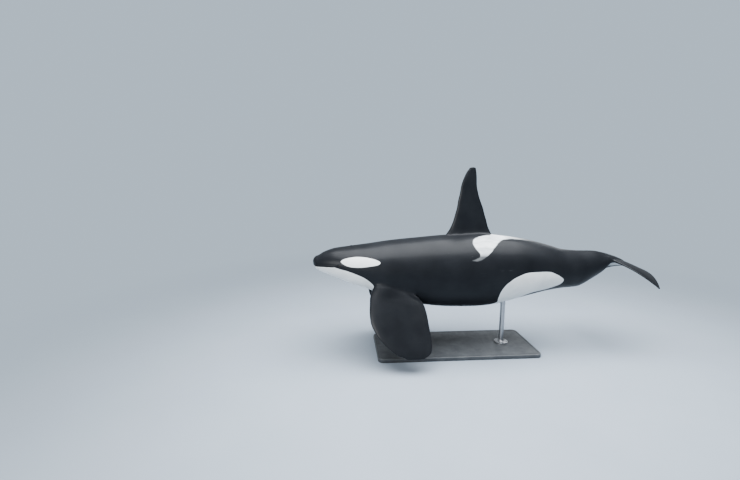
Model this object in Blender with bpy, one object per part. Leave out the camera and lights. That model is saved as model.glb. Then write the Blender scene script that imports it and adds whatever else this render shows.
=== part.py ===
"""Adult male orca, life size, swimming level on a two-rod display stand.

Units are metres, +Z is up, the head points to -X and the left side to -Y.
The whale is modelled along its own axis: x runs from the tip of the snout to
the tail, and z is measured from the body axis. One empty then sets the axis at
its height over the floor and the middle of the whole model over the origin.
"""

import math

import bmesh
import bpy
import numpy as np
from mathutils import Vector

# Meeting faces keep this gap.
GAP = 0.0003

# Height of the body axis over the floor, set by the hanging flippers.
AXIS_HEIGHT = 1.52

# Body stations from snout to tail: x, back, belly, half width, keel.
# A keel of 1 is an ellipse, and a larger one pinches the back and belly.
BODY_STATIONS = (
    (0.00, 0.306, 0.135, 0.100, 1.00),
    (0.08, 0.320, 0.060, 0.165, 1.00),
    (0.20, 0.387, 0.005, 0.225, 1.00),
    (0.40, 0.454, -0.080, 0.300, 1.00),
    (0.65, 0.487, -0.186, 0.375, 1.00),
    (1.00, 0.530, -0.308, 0.455, 1.00),
    (1.40, 0.585, -0.505, 0.510, 1.00),
    (1.90, 0.630, -0.605, 0.550, 1.00),
    (2.50, 0.680, -0.670, 0.570, 1.00),
    (3.00, 0.700, -0.680, 0.559, 1.02),
    (3.35, 0.668, -0.653, 0.538, 1.03),
    (3.70, 0.624, -0.575, 0.500, 1.05),
    (4.00, 0.573, -0.502, 0.455, 1.08),
    (4.20, 0.524, -0.455, 0.420, 1.10),
    (4.45, 0.455, -0.406, 0.372, 1.14),
    (4.70, 0.381, -0.376, 0.320, 1.19),
    (5.00, 0.352, -0.358, 0.255, 1.28),
    (5.30, 0.343, -0.212, 0.190, 1.30),
    (5.50, 0.305, -0.075, 0.150, 1.25),
    (5.66, 0.258, 0.090, 0.128, 1.05),
    (5.80, 0.208, 0.088, 0.105, 1.00),
    (5.92, 0.150, 0.070, 0.075, 1.00),
    (5.98, 0.102, 0.064, 0.030, 1.00),
)
CHIN_PINCH = 0.22
CHIN_PINCH_END = 1.50
NOSE_ROUNDING = 0.07
NOSE_RINGS = 6
BELLY_SHARE = 0.48
BODY_SIDES = 40
RING_SPACING = 0.15
FINE_RING_SPACING = 0.08
HEAD_FINE_TO = 0.80
TAIL_FINE_FROM = 4.90

# Planes that part the body, from the snout.
NECK_X = 0.95
CHEST_X = 2.08
STOCK_X = 4.30

# Mouth: height of the lip line at the snout and at the corner.
MOUTH_Z_FRONT = 0.150
MOUTH_Z_CORNER = 0.165
MOUTH_CORNER_X = 0.42
THROAT_X = 0.72
THROAT_Z = -0.40
LIP_GROOVE = 0.007
LIP_ROLL = 0.012
LIP_RISE = 0.013
LIP_SINK = 0.007
LIP_POINTS = 12
TUBE_RESOLUTION = 1

# Eyes, below the front end of each eye patch.
EYE_X = 0.485
EYE_Z = 0.186
EYE_RADIUS = 0.026
EYE_PROUD = 0.009
LID_LENGTH = 0.036
LID_HEIGHT = 0.020
LID_THICKNESS = 0.009
LID_SINK = 0.003
LID_POINTS = 16

# Blowhole: a crescent on the crown, open to the front, just left of the middle.
BLOWHOLE_X = 0.70
BLOWHOLE_Y = -0.015
BLOWHOLE_RADIUS = 0.062
BLOWHOLE_SLIT = 0.011
BLOWHOLE_SPREAD = 68.0
BLOWHOLE_RIM = 0.020

# Dorsal fin: leading and trailing edge as (z, x), and thickness as (z, t).
FIN_LEADING = (
    (0.58, 2.350),
    (0.68, 2.442),
    (0.80, 2.520),
    (0.95, 2.578),
    (1.21, 2.640),
    (1.46, 2.684),
    (1.68, 2.733),
    (1.82, 2.799),
    (1.88, 2.842),
)
FIN_TRAILING = (
    (0.58, 3.420),
    (0.68, 3.318),
    (0.80, 3.240),
    (0.95, 3.192),
    (1.24, 3.094),
    (1.46, 3.013),
    (1.68, 2.981),
    (1.82, 2.972),
    (1.88, 2.960),
)
FIN_THICKNESS = ((0.58, 0.27), (0.68, 0.170), (0.80, 0.113), (1.20, 0.082), (1.88, 0.034))
FIN_TIP_Z = 1.905
FIN_LEVELS = (0.58, 0.64, 0.70, 0.76, 0.83, 0.92, 1.06, 1.22, 1.38, 1.53, 1.66, 1.76, 1.83, 1.87)

# Flippers: a plane that hangs from the lower side of the chest.
FLIPPER_Y = 0.4875
FLIPPER_Z = -0.2925
FLIPPER_DROP = 60.0
FLIPPER_PIVOT_X = 1.35
FLIPPER_TRAIL = {"flipper_left": 0.0, "flipper_right": 15.0}
FLIPPER_LEADING = (
    (-0.42, 1.150),
    (-0.10, 1.058),
    (0.00, 1.020),
    (0.08, 1.004),
    (0.17, 0.998),
    (0.30, 0.989),
    (0.46, 1.000),
    (0.70, 1.096),
    (0.91, 1.276),
    (1.03, 1.420),
    (1.09, 1.560),
)
FLIPPER_TRAILING = (
    (-0.42, 1.620),
    (-0.10, 1.715),
    (0.08, 1.862),
    (0.22, 1.948),
    (0.40, 1.984),
    (0.56, 1.999),
    (0.86, 2.022),
    (0.96, 2.013),
    (1.03, 1.981),
    (1.09, 1.895),
)
FLIPPER_THICKNESS = ((-0.42, 0.10), (-0.10, 0.160), (0.10, 0.110), (0.60, 0.075), (1.09, 0.034))
FLIPPER_TIP = 1.112
FLIPPER_LEVELS = (-0.42, -0.24, -0.12, -0.03, 0.06, 0.18, 0.34, 0.50, 0.64, 0.77, 0.88, 0.97, 1.04, 1.085)

# Flukes: chord positions as (span, chord) from the root of the leading edge.
FLUKE_X = 5.60
FLUKE_Z = 0.195
FLUKE_PITCH = 17.0
FLUKE_SPAN = 0.82
FLUKE_LEADING = (
    (0.00, -0.100),
    (0.10, 0.000),
    (0.25, 0.100),
    (0.40, 0.190),
    (0.55, 0.290),
    (0.68, 0.390),
    (0.79, 0.490),
)
FLUKE_TRAILING = (
    (0.00, 0.560),
    (0.06, 0.645),
    (0.16, 0.680),
    (0.30, 0.675),
    (0.45, 0.645),
    (0.60, 0.600),
    (0.72, 0.560),
    (0.79, 0.535),
)
FLUKE_THICKNESS = ((0.00, 0.105), (0.15, 0.085), (0.40, 0.054), (0.79, 0.022))
FLUKE_LEVELS = (0.0, 0.03, 0.07, 0.13, 0.21, 0.30, 0.39, 0.48, 0.57, 0.65, 0.72, 0.77, 0.795)
FLUKE_TIP_CHORD = 0.530
FLUKE_ROOT_DROOP = 4.0
FLUKE_TIP_DROOP = 40.0
FLUKE_HALF_WIDTH_OF_STOCK = 0.13

# Fin sections.
SECTION_STEPS = 9
THICKEST_AT = 0.32
EDGE_THICKNESS = 0.006

# Display stand.
BASE_LENGTH = 3.00
BASE_WIDTH = 1.20
BASE_HEIGHT = 0.07
BASE_CENTRE_X = 2.65
BASE_CORNER = 0.10
BASE_BEVEL = 0.012
ROD_RADIUS = 0.045
ROD_FRONT_X = 1.70
ROD_REAR_X = 3.60
ROD_SINK = 0.15
FOOT_RADIUS = 0.13
FOOT_HEIGHT = 0.022
FOOT_FILLET = 0.03
ROD_SIDES = 28

# Colours as linear RGB, then roughness and metallic.
SKIN_BLACK = ((0.012, 0.014, 0.018), 0.32, 0.0)
SKIN_WHITE = ((0.80, 0.82, 0.82), 0.38, 0.0)
EYE_BROWN = ((0.030, 0.018, 0.012), 0.08, 0.0)
BASE_PAINT = ((0.055, 0.060, 0.066), 0.45, 0.0)
ROD_STEEL = ((0.42, 0.43, 0.45), 0.30, 1.0)

FAR = 12.0


def clear_scene():
    for obj in list(bpy.data.objects):
        bpy.data.objects.remove(obj, do_unlink=True)


def make_collection(name):
    collection = bpy.data.collections.new(name)
    bpy.context.scene.collection.children.link(collection)
    return collection


def make_material(name, finish):
    colour, roughness, metallic = finish
    material = bpy.data.materials.new(name)
    material.use_nodes = True
    shader = material.node_tree.nodes["Principled BSDF"]
    shader.inputs["Base Color"].default_value = (*colour, 1.0)
    shader.inputs["Roughness"].default_value = roughness
    shader.inputs["Metallic"].default_value = metallic
    return material


def smooth_curve(points):
    """Return a function that runs through the points without overshoot."""
    xs = np.array([p[0] for p in points], dtype=float)
    ys = np.array([p[1] for p in points], dtype=float)
    steps = np.diff(xs)
    slopes = np.diff(ys) / steps
    tangents = np.zeros(len(xs))
    tangents[0] = slopes[0]
    tangents[-1] = slopes[-1]
    for i in range(1, len(xs) - 1):
        if slopes[i - 1] * slopes[i] > 0.0:
            first = 2.0 * steps[i] + steps[i - 1]
            second = steps[i] + 2.0 * steps[i - 1]
            tangents[i] = (first + second) / (first / slopes[i - 1] + second / slopes[i])

    def value(x):
        x = min(max(x, xs[0]), xs[-1])
        i = min(max(int(np.searchsorted(xs, x)) - 1, 0), len(xs) - 2)
        t = (x - xs[i]) / steps[i]
        a = ys[i] * (1.0 + 2.0 * t) * (1.0 - t) ** 2
        b = tangents[i] * steps[i] * t * (1.0 - t) ** 2
        c = ys[i + 1] * t * t * (3.0 - 2.0 * t)
        d = tangents[i + 1] * steps[i] * t * t * (t - 1.0)
        return a + b + c + d

    return value


BACK = smooth_curve([(s[0], s[1]) for s in BODY_STATIONS])
BELLY = smooth_curve([(s[0], s[2]) for s in BODY_STATIONS])
WIDTH = smooth_curve([(s[0], s[3]) for s in BODY_STATIONS])
KEEL = smooth_curve([(s[0], s[4]) for s in BODY_STATIONS])
BODY_END = BODY_STATIONS[-1][0]


def body_form(x):
    """Middle height, half depths up and down, half width, keels up and down."""
    low = BELLY(x)
    middle = low + BELLY_SHARE * (BACK(x) - low)
    up = BACK(x) - middle
    down = middle - low
    wide = WIDTH(x)
    if x < NOSE_ROUNDING:
        rounding = math.sqrt(max(1.0 - (1.0 - x / NOSE_ROUNDING) ** 2, 0.0))
        up *= rounding
        down *= rounding
        wide *= rounding
    keel = KEEL(x)
    chin = keel + CHIN_PINCH * max(1.0 - x / CHIN_PINCH_END, 0.0)
    return middle, up, down, wide, keel, chin


def body_point(x, angle, grow=0.0):
    """Point on the skin; the angle runs from the back over the right side."""
    middle, up, down, wide, keel, chin = body_form(x)
    side = math.sin(angle)
    rise = math.cos(angle)
    pinch = keel if rise > 0.0 else chin
    y = math.copysign((wide + grow) * abs(side) ** pinch, side)
    z = middle + rise * ((up if rise > 0.0 else down) + grow)
    return Vector((x, y, z))


def side_point(x, z, sign):
    """Point on the skin at this x and height, on the side that sign names."""
    middle, up, down, wide, keel, chin = body_form(x)
    reach = up if z > middle else down
    pinch = keel if z > middle else chin
    rise = min(max((z - middle) / max(reach, 1e-6), -1.0), 1.0)
    return Vector((x, sign * wide * math.sqrt(1.0 - rise * rise) ** pinch, z))


def side_normal(x, z, sign):
    """Outward normal of the skin at a side point."""
    step = 0.004
    here = side_point(x, z, sign)
    along = side_point(x + step, z, sign) - here
    upward = side_point(x, z + step, sign) - here
    normal = along.cross(upward).normalized()
    if normal.y * sign < 0.0:
        normal.negate()
    return normal


def object_from_bmesh(name, mesh_builder, collection, material=None):
    bmesh.ops.recalc_face_normals(mesh_builder, faces=mesh_builder.faces)
    mesh = bpy.data.meshes.new(name)
    mesh_builder.to_mesh(mesh)
    mesh_builder.free()
    obj = bpy.data.objects.new(name, mesh)
    collection.objects.link(obj)
    if material:
        mesh.materials.append(material)
    return obj


def mark_as_cutter(obj):
    obj.hide_render = True
    obj.display_type = "WIRE"
    return obj


def loft(name, rings, collection, material=None, mirrored_split=False):
    """Close a stack of rings with equal point counts into one solid."""
    builder = bmesh.new()
    rows = [[builder.verts.new(point) for point in ring] for ring in rings]
    count = len(rows[0])
    for low, high in zip(rows, rows[1:]):
        for k in range(count):
            n = (k + 1) % count
            if mirrored_split and k >= count // 2:
                builder.faces.new((low[k], low[n], high[k]))
                builder.faces.new((low[n], high[n], high[k]))
            else:
                builder.faces.new((low[k], low[n], high[n]))
                builder.faces.new((low[k], high[n], high[k]))
    for row in (rows[0], rows[-1]):
        centre = builder.verts.new(sum((v.co for v in row), Vector()) / count)
        for k in range(count):
            builder.faces.new((row[k], row[(k + 1) % count], centre))
    bmesh.ops.remove_doubles(builder, verts=builder.verts, dist=1e-5)
    return object_from_bmesh(name, builder, collection, material)


def body_ring_places():
    """Positions of the rings: close at the snout, head and tail stock."""
    angles = [math.radians(90.0 * i / NOSE_RINGS) for i in range(1, NOSE_RINGS + 1)]
    places = [NOSE_ROUNDING * (1.0 - math.cos(a)) for a in angles]
    limits = (
        (NOSE_ROUNDING, HEAD_FINE_TO, FINE_RING_SPACING),
        (HEAD_FINE_TO, TAIL_FINE_FROM, RING_SPACING),
        (TAIL_FINE_FROM, BODY_END, FINE_RING_SPACING),
    )
    for start, end, spacing in limits:
        steps = max(round((end - start) / spacing), 1)
        places += [start + (end - start) * i / steps for i in range(1, steps + 1)]
    return places


def make_body(name, collection, grow=0.0):
    angles = [2.0 * math.pi * k / BODY_SIDES for k in range(BODY_SIDES)]
    rings = [[body_point(x, a, grow) for a in angles] for x in body_ring_places()]
    return loft(name, rings, collection)


def section_shape():
    """Half thickness along the chord, 0 at the leading edge, 1 the trailing."""
    shape = []
    for i in range(SECTION_STEPS + 1):
        chord = 0.5 - 0.5 * math.cos(math.pi * i / SECTION_STEPS)
        if chord < THICKEST_AT:
            half = math.sqrt(1.0 - (1.0 - chord / THICKEST_AT) ** 2)
        else:
            half = math.cos(0.5 * math.pi * (chord - THICKEST_AT) / (1.0 - THICKEST_AT))
            half = half ** 0.9
        shape.append((chord, half))
    return shape


def fin_ring(leading, trailing, thickness, place):
    """Ring round a fin section; place(chord, side) puts a point in space."""
    upper = []
    lower = []
    for chord, half in section_shape():
        offset = 0.5 * max(thickness * half, EDGE_THICKNESS * (1.0 - chord ** 8))
        if chord in (0.0, 1.0):
            offset = 0.0
        along = leading + (trailing - leading) * chord
        upper.append(place(along, offset))
        if offset > 0.0:
            lower.append(place(along, -offset))
    return upper[::-1] + lower


def tip_ring(ring, tip):
    """Last small ring, drawn in towards the tip."""
    return [tip + (point - tip) * 0.35 for point in ring]


def make_dorsal_fin(collection):
    lead = smooth_curve(FIN_LEADING)
    trail = smooth_curve(FIN_TRAILING)
    thick = smooth_curve(FIN_THICKNESS)
    rings = []
    for z in FIN_LEVELS:
        def place(along, side, height=z):
            return Vector((along, side, height))
        rings.append(fin_ring(lead(z), trail(z), thick(z), place))
    top = sum(rings[-1], Vector()) / len(rings[-1])
    top.z = FIN_TIP_Z
    rings.append(tip_ring(rings[-1], top))
    return loft("dorsal_fin", rings, collection, mirrored_split=True)


def make_flipper(name, side, collection):
    """Flipper in its own plane, swung back by its trail about the root."""
    lead = smooth_curve(FLIPPER_LEADING)
    trail = smooth_curve(FLIPPER_TRAILING)
    thick = smooth_curve(FLIPPER_THICKNESS)
    drop = math.radians(FLIPPER_DROP)
    swing = math.radians(FLIPPER_TRAIL[name])
    down = Vector((0.0, side * math.cos(drop), -math.sin(drop)))
    back = Vector((1.0, 0.0, 0.0))
    outward = down * math.cos(swing) + back * math.sin(swing)
    chord_way = back * math.cos(swing) - down * math.sin(swing)
    face = Vector((0.0, side * math.sin(drop), math.cos(drop)))
    root = Vector((FLIPPER_PIVOT_X, side * FLIPPER_Y, FLIPPER_Z))
    rings = []
    for s in FLIPPER_LEVELS:
        def place(along, offset, span=s):
            return root + outward * span + face * offset + chord_way * (along - FLIPPER_PIVOT_X)
        rings.append(fin_ring(lead(s), trail(s), thick(s), place))
    middle = 0.5 * (lead(FLIPPER_TIP) + trail(FLIPPER_TIP))
    tip = root + outward * FLIPPER_TIP + chord_way * (middle - FLIPPER_PIVOT_X)
    rings.append(tip_ring(rings[-1], tip))
    return loft(name, rings, collection, mirrored_split=True)


def fluke_line(span):
    """Sideways reach and fall of the drooping fluke at a span along it."""
    steps = 24
    reach = 0.0
    fall = 0.0
    for i in range(steps):
        share = (i + 0.5) / steps * span / FLUKE_SPAN
        droop = FLUKE_ROOT_DROOP + (FLUKE_TIP_DROOP - FLUKE_ROOT_DROOP) * share ** 1.5
        reach += math.cos(math.radians(droop)) * span / steps
        fall += math.sin(math.radians(droop)) * span / steps
    return reach, fall


def make_flukes(name, collection):
    lead = smooth_curve(FLUKE_LEADING)
    trail = smooth_curve(FLUKE_TRAILING)
    thick = smooth_curve(FLUKE_THICKNESS)
    pitch = math.radians(FLUKE_PITCH)
    chord_way = Vector((math.cos(pitch), 0.0, -math.sin(pitch)))
    face = Vector((math.sin(pitch), 0.0, math.cos(pitch)))
    root = Vector((FLUKE_X, 0.0, FLUKE_Z))
    half = []
    for s in FLUKE_LEVELS:
        reach, fall = fluke_line(s)

        def place(along, offset, y=reach, z=fall):
            return root + chord_way * along + face * offset + Vector((0.0, y, -z))
        half.append(fin_ring(lead(s), trail(s), thick(s), place))
    reach, fall = fluke_line(FLUKE_SPAN)
    tip = root + chord_way * FLUKE_TIP_CHORD + Vector((0.0, reach, -fall))
    half.append(tip_ring(half[-1], tip))
    other = [[Vector((p.x, -p.y, p.z)) for p in ring] for ring in half[:0:-1]]
    return loft(name, other + half, collection, mirrored_split=True)


def make_box(name, low, high, collection):
    builder = bmesh.new()
    bmesh.ops.create_cube(builder, size=1.0)
    size = Vector(high) - Vector(low)
    for vert in builder.verts:
        vert.co = Vector(low) + Vector([(vert.co[i] + 0.5) * size[i] for i in range(3)])
    return mark_as_cutter(object_from_bmesh(name, builder, collection))


def make_prism(name, outline, half_width, collection):
    """Solid with this outline in x and z, reaching half_width to each side."""
    rings = [[Vector((x, y, z)) for x, z in outline] for y in (-half_width, half_width)]
    builder = bmesh.new()
    rows = [[builder.verts.new(p) for p in ring] for ring in rings]
    count = len(outline)
    for k in range(count):
        n = (k + 1) % count
        builder.faces.new((rows[0][k], rows[0][n], rows[1][n], rows[1][k]))
    builder.faces.new(rows[0])
    builder.faces.new(rows[1])
    return mark_as_cutter(object_from_bmesh(name, builder, collection))


def make_tube(name, points, radii, collection, closed=False):
    """Closed tube along the points, with a radius for each of them."""
    curve = bpy.data.curves.new(name, "CURVE")
    curve.dimensions = "3D"
    curve.bevel_depth = 1.0
    curve.bevel_resolution = TUBE_RESOLUTION
    curve.use_fill_caps = True
    spline = curve.splines.new("POLY")
    spline.use_cyclic_u = closed
    spline.points.add(len(points) - 1)
    for target, point, radius in zip(spline.points, points, radii):
        target.co = (*point, 1.0)
        target.radius = radius
    source = bpy.data.objects.new(name + "_curve", curve)
    collection.objects.link(source)
    bpy.context.view_layer.update()
    evaluated = source.evaluated_get(bpy.context.evaluated_depsgraph_get())
    builder = bmesh.new()
    builder.from_mesh(bpy.data.meshes.new_from_object(evaluated))
    bmesh.ops.remove_doubles(builder, verts=builder.verts, dist=1e-5)
    bpy.data.objects.remove(source, do_unlink=True)
    return mark_as_cutter(object_from_bmesh(name, builder, collection))


def copy_object(obj, name, collection):
    copy = bpy.data.objects.new(name, obj.data.copy())
    copy.data.name = name
    collection.objects.link(copy)
    return copy


def apply_boolean(obj, tool, operation):
    modifier = obj.modifiers.new(operation.lower(), "BOOLEAN")
    modifier.operation = operation
    modifier.object = tool
    modifier.solver = "EXACT"
    bpy.context.view_layer.update()
    evaluated = obj.evaluated_get(bpy.context.evaluated_depsgraph_get())
    mesh = bpy.data.meshes.new_from_object(evaluated)
    obj.modifiers.remove(modifier)
    obj.data = mesh


def keep_largest_surface(obj):
    """Drop loose scraps, so that one closed surface is left."""
    builder = bmesh.new()
    builder.from_mesh(obj.data)
    bmesh.ops.remove_doubles(builder, verts=builder.verts, dist=1e-5)
    left = set(builder.faces)
    groups = []
    while left:
        start = left.pop()
        group = [start]
        queue = [start]
        while queue:
            for edge in queue.pop().edges:
                for face in edge.link_faces:
                    if face in left:
                        left.discard(face)
                        group.append(face)
                        queue.append(face)
        groups.append(group)
    groups.sort(key=lambda g: sum(f.calc_area() for f in g), reverse=True)
    loose = [face for group in groups[1:] for face in group]
    bmesh.ops.delete(builder, geom=loose, context="FACES")
    bmesh.ops.triangulate(builder, faces=builder.faces)
    builder.to_mesh(obj.data)
    builder.free()


def mouth_height(x):
    share = min(max(x / MOUTH_CORNER_X, 0.0), 1.0)
    return MOUTH_Z_FRONT + (MOUTH_Z_CORNER - MOUTH_Z_FRONT) * share


def lip_front(rise):
    """Where the lip line meets the middle of the snout."""
    low = 0.0
    high = MOUTH_CORNER_X
    for _ in range(40):
        x = 0.5 * (low + high)
        middle, up, down, wide, keel, chin = body_form(x)
        if middle - down > mouth_height(x) + rise:
            low = x
        else:
            high = x
    return high


def lip_points(rise, sink=0.0):
    """Points round the lips from the right corner over the snout to the left."""
    front = lip_front(rise)
    half = []
    for i in range(1, LIP_POINTS):
        half.append(front + (MOUTH_CORNER_X - front) * (i / (LIP_POINTS - 1)) ** 1.9)

    def lip_point(x, sign):
        z = mouth_height(x) + rise
        return side_point(x, z, sign) - side_normal(x, z, sign) * sink

    right = [lip_point(x, 1.0) for x in half[::-1]]
    left = [lip_point(x, -1.0) for x in half]
    return right + [Vector((front + sink, 0.0, mouth_height(front) + rise))] + left


def lip_radii(full):
    corner = [full * (0.3 + 0.35 * i) for i in range(2)]
    return corner + [full] * (2 * LIP_POINTS - 5) + corner[::-1]


def jaw_outline(shift):
    """Outline of the space of the lower jaw; shift widens it all round."""
    front = -0.2
    outline = [(front, mouth_height(0.0) + shift)]
    outline.append((0.0, mouth_height(0.0) + shift))
    outline.append((MOUTH_CORNER_X + shift, MOUTH_Z_CORNER + shift))
    outline.append((THROAT_X + shift, THROAT_Z))
    outline.append((front, THROAT_Z))
    return outline


def add_lids(head, sign, cutters):
    """Fuse a ring of skin round the eye and hollow the socket."""
    normal = side_normal(EYE_X, EYE_Z, sign)
    centre = side_point(EYE_X, EYE_Z, sign) - normal * LID_SINK
    forward = Vector((1.0, 0.0, 0.0)).cross(normal).cross(normal).normalized() * -1.0
    upward = normal.cross(forward)
    points = []
    for i in range(LID_POINTS):
        angle = 2.0 * math.pi * i / LID_POINTS
        along = forward * LID_LENGTH * math.cos(angle)
        rise = upward * LID_HEIGHT * math.sin(angle)
        points.append(centre + along + rise)
    lid = make_tube("lid", points, [LID_THICKNESS] * LID_POINTS, cutters, closed=True)
    apply_boolean(head, lid, "UNION")
    bpy.data.objects.remove(lid, do_unlink=True)


def make_eye(name, sign, grow, collection, material=None):
    normal = side_normal(EYE_X, EYE_Z, sign)
    centre = side_point(EYE_X, EYE_Z, sign) - normal * (EYE_RADIUS - EYE_PROUD)
    builder = bmesh.new()
    radius = EYE_RADIUS + grow
    bmesh.ops.create_uvsphere(builder, u_segments=16, v_segments=10, radius=radius)
    bmesh.ops.translate(builder, verts=builder.verts, vec=centre)
    return object_from_bmesh(name, builder, collection, material)


def cut_blowhole(head, cutters):
    points = []
    steps = 12
    for i in range(steps + 1):
        angle = math.radians(BLOWHOLE_SPREAD * (2.0 * i / steps - 1.0))
        x = BLOWHOLE_X + BLOWHOLE_RADIUS * (math.cos(angle) - 1.0)
        y = BLOWHOLE_Y + BLOWHOLE_RADIUS * math.sin(angle)
        middle, up, down, wide, keel, chin = body_form(x)
        points.append(Vector((x, y, middle + up * math.sqrt(1.0 - (y / wide) ** 2))))
    share = [math.sin(math.pi * (i + 0.6) / (steps + 1.2)) for i in range(steps + 1)]
    low = [p - Vector((0.0, 0.0, 0.55 * BLOWHOLE_RIM)) for p in points]
    rim = make_tube("blowhole_rim", low, [BLOWHOLE_RIM * (0.55 + 0.45 * s) for s in share], cutters)
    slit = make_tube("blowhole_slit", points, [BLOWHOLE_SLIT * (0.3 + 0.7 * s) for s in share], cutters)
    for tool, operation in ((rim, "UNION"), (slit, "DIFFERENCE")):
        apply_boolean(head, tool, operation)
        bpy.data.objects.remove(tool, do_unlink=True)


def make_head_and_jaw(body, parts, cutters):
    block = make_box("head_space", (-1.0, -FAR, -FAR), (NECK_X - GAP / 2.0, FAR, FAR), cutters)
    head = copy_object(body, "head", parts)
    apply_boolean(head, block, "INTERSECT")
    jaw = copy_object(head, "lower_jaw", parts)
    jaw_space = make_prism("jaw_space", jaw_outline(0.0), 1.0, cutters)
    jaw_clear = make_prism("jaw_clearance", jaw_outline(GAP), 1.0, cutters)
    apply_boolean(jaw, jaw_space, "INTERSECT")
    apply_boolean(head, jaw_clear, "DIFFERENCE")
    for sign in (-1.0, 1.0):
        add_lids(head, sign, cutters)
        socket = mark_as_cutter(make_eye("socket", sign, GAP, cutters))
        apply_boolean(head, socket, "DIFFERENCE")
    cut_blowhole(head, cutters)
    upper = make_tube("upper_lip", lip_points(LIP_RISE, LIP_SINK), lip_radii(LIP_ROLL), cutters)
    lower = make_tube("lower_lip", lip_points(-LIP_RISE, LIP_SINK), lip_radii(LIP_ROLL), cutters)
    groove = make_tube("lip_groove", lip_points(0.0), lip_radii(LIP_GROOVE), cutters)
    apply_boolean(head, upper, "UNION")
    apply_boolean(jaw, lower, "UNION")
    apply_boolean(head, jaw_clear, "DIFFERENCE")
    apply_boolean(jaw, jaw_space, "INTERSECT")
    for piece in (head, jaw):
        apply_boolean(piece, groove, "DIFFERENCE")
    return head, jaw


def make_trunk(body, parts, cutters):
    lengths = (
        ("chest", NECK_X + GAP / 2.0, CHEST_X - GAP / 2.0),
        ("torso", CHEST_X + GAP / 2.0, STOCK_X - GAP / 2.0),
        ("tail_stock", STOCK_X + GAP / 2.0, FAR),
    )
    pieces = {}
    for name, start, end in lengths:
        space = make_box(name + "_space", (start, -FAR, -FAR), (end, FAR, FAR), cutters)
        piece = copy_object(body, name, parts)
        apply_boolean(piece, space, "INTERSECT")
        pieces[name] = piece
    return pieces


def make_fluke_pieces(stock, grown_body, parts, cutters):
    whole = make_flukes("flukes", cutters)
    limit = FLUKE_HALF_WIDTH_OF_STOCK
    middle = copy_object(whole, "fluke_middle", cutters)
    middle_space = make_box("fluke_middle_space", (0.0, -limit, -FAR), (FAR, limit, FAR), cutters)
    apply_boolean(middle, middle_space, "INTERSECT")
    apply_boolean(stock, middle, "UNION")
    pieces = []
    for name, sign in (("fluke_left", -1.0), ("fluke_right", 1.0)):
        near = sign * (limit + GAP)
        reach = sign * FAR
        low = (0.0, min(near, reach), -FAR)
        high = (FAR, max(near, reach), FAR)
        space = make_box(name + "_space", low, high, cutters)
        piece = copy_object(whole, name, parts)
        apply_boolean(piece, space, "INTERSECT")
        apply_boolean(piece, grown_body, "DIFFERENCE")
        pieces.append(piece)
    for tool in (whole, middle):
        mark_as_cutter(tool)
    return pieces


def make_base(parts, material):
    """Flat plinth with round corners and a small bevel round its top edge."""
    corners = []
    per_corner = 6
    for sx, sy, start in ((1, 1, 0), (-1, 1, 90), (-1, -1, 180), (1, -1, 270)):
        cx = BASE_CENTRE_X + sx * (BASE_LENGTH / 2.0 - BASE_CORNER)
        cy = sy * (BASE_WIDTH / 2.0 - BASE_CORNER)
        for i in range(per_corner + 1):
            angle = math.radians(start + 90.0 * i / per_corner)
            corners.append((cx + BASE_CORNER * math.cos(angle), cy + BASE_CORNER * math.sin(angle)))
    builder = bmesh.new()
    floor = -AXIS_HEIGHT
    bottom = [builder.verts.new((x, y, floor)) for x, y in corners]
    face = builder.faces.new(bottom)
    extruded = bmesh.ops.extrude_face_region(builder, geom=[face])
    top = [g for g in extruded["geom"] if isinstance(g, bmesh.types.BMVert)]
    bmesh.ops.translate(builder, verts=top, vec=(0.0, 0.0, BASE_HEIGHT))
    top_edges = [e for e in builder.edges if all(v in top for v in e.verts)]
    bmesh.ops.bevel(builder, geom=top_edges, offset=BASE_BEVEL, segments=2, affect="EDGES", profile=0.5)
    return object_from_bmesh("stand_base", builder, parts, material)


def make_rod(name, x, grown_body, parts, material):
    """Turned rod with a round foot, its top shaped to the belly."""
    foot = -AXIS_HEIGHT + BASE_HEIGHT + GAP
    fillet_steps = 3
    profile = [(0.0, BELLY(x) + ROD_SINK), (ROD_RADIUS, BELLY(x) + ROD_SINK)]
    for i in range(fillet_steps + 1):
        angle = math.radians(90.0 * i / fillet_steps)
        radius = ROD_RADIUS + FOOT_FILLET * (1.0 - math.cos(angle))
        height = foot + FOOT_HEIGHT + FOOT_FILLET * (1.0 - math.sin(angle))
        profile.append((radius, height))
    profile.append((FOOT_RADIUS, foot + FOOT_HEIGHT))
    profile.append((FOOT_RADIUS, foot))
    profile.append((0.0, foot))
    builder = bmesh.new()
    verts = [builder.verts.new((x + r, 0.0, z)) for r, z in profile]
    edges = [builder.edges.new(pair) for pair in zip(verts, verts[1:])]
    bmesh.ops.spin(
        builder,
        geom=verts + edges,
        cent=(x, 0.0, 0.0),
        axis=(0.0, 0.0, 1.0),
        angle=2.0 * math.pi,
        steps=ROD_SIDES,
        use_merge=True,
    )
    bmesh.ops.remove_doubles(builder, verts=builder.verts, dist=1e-5)
    rod = object_from_bmesh(name, builder, parts, material)
    apply_boolean(rod, grown_body, "DIFFERENCE")
    return rod


def place_whole(objects):
    """Hang every piece on one empty, over the origin and above the floor."""
    xs = [v.co.x for obj in objects for v in obj.data.vertices]
    ys = [v.co.y for obj in objects for v in obj.data.vertices]
    middle = (0.5 * (min(xs) + max(xs)), 0.5 * (min(ys) + max(ys)))
    holder = bpy.data.objects.new("orca", None)
    bpy.context.scene.collection.objects.link(holder)
    holder.location = (-middle[0], -middle[1], AXIS_HEIGHT)
    for obj in objects:
        obj.parent = holder


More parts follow.
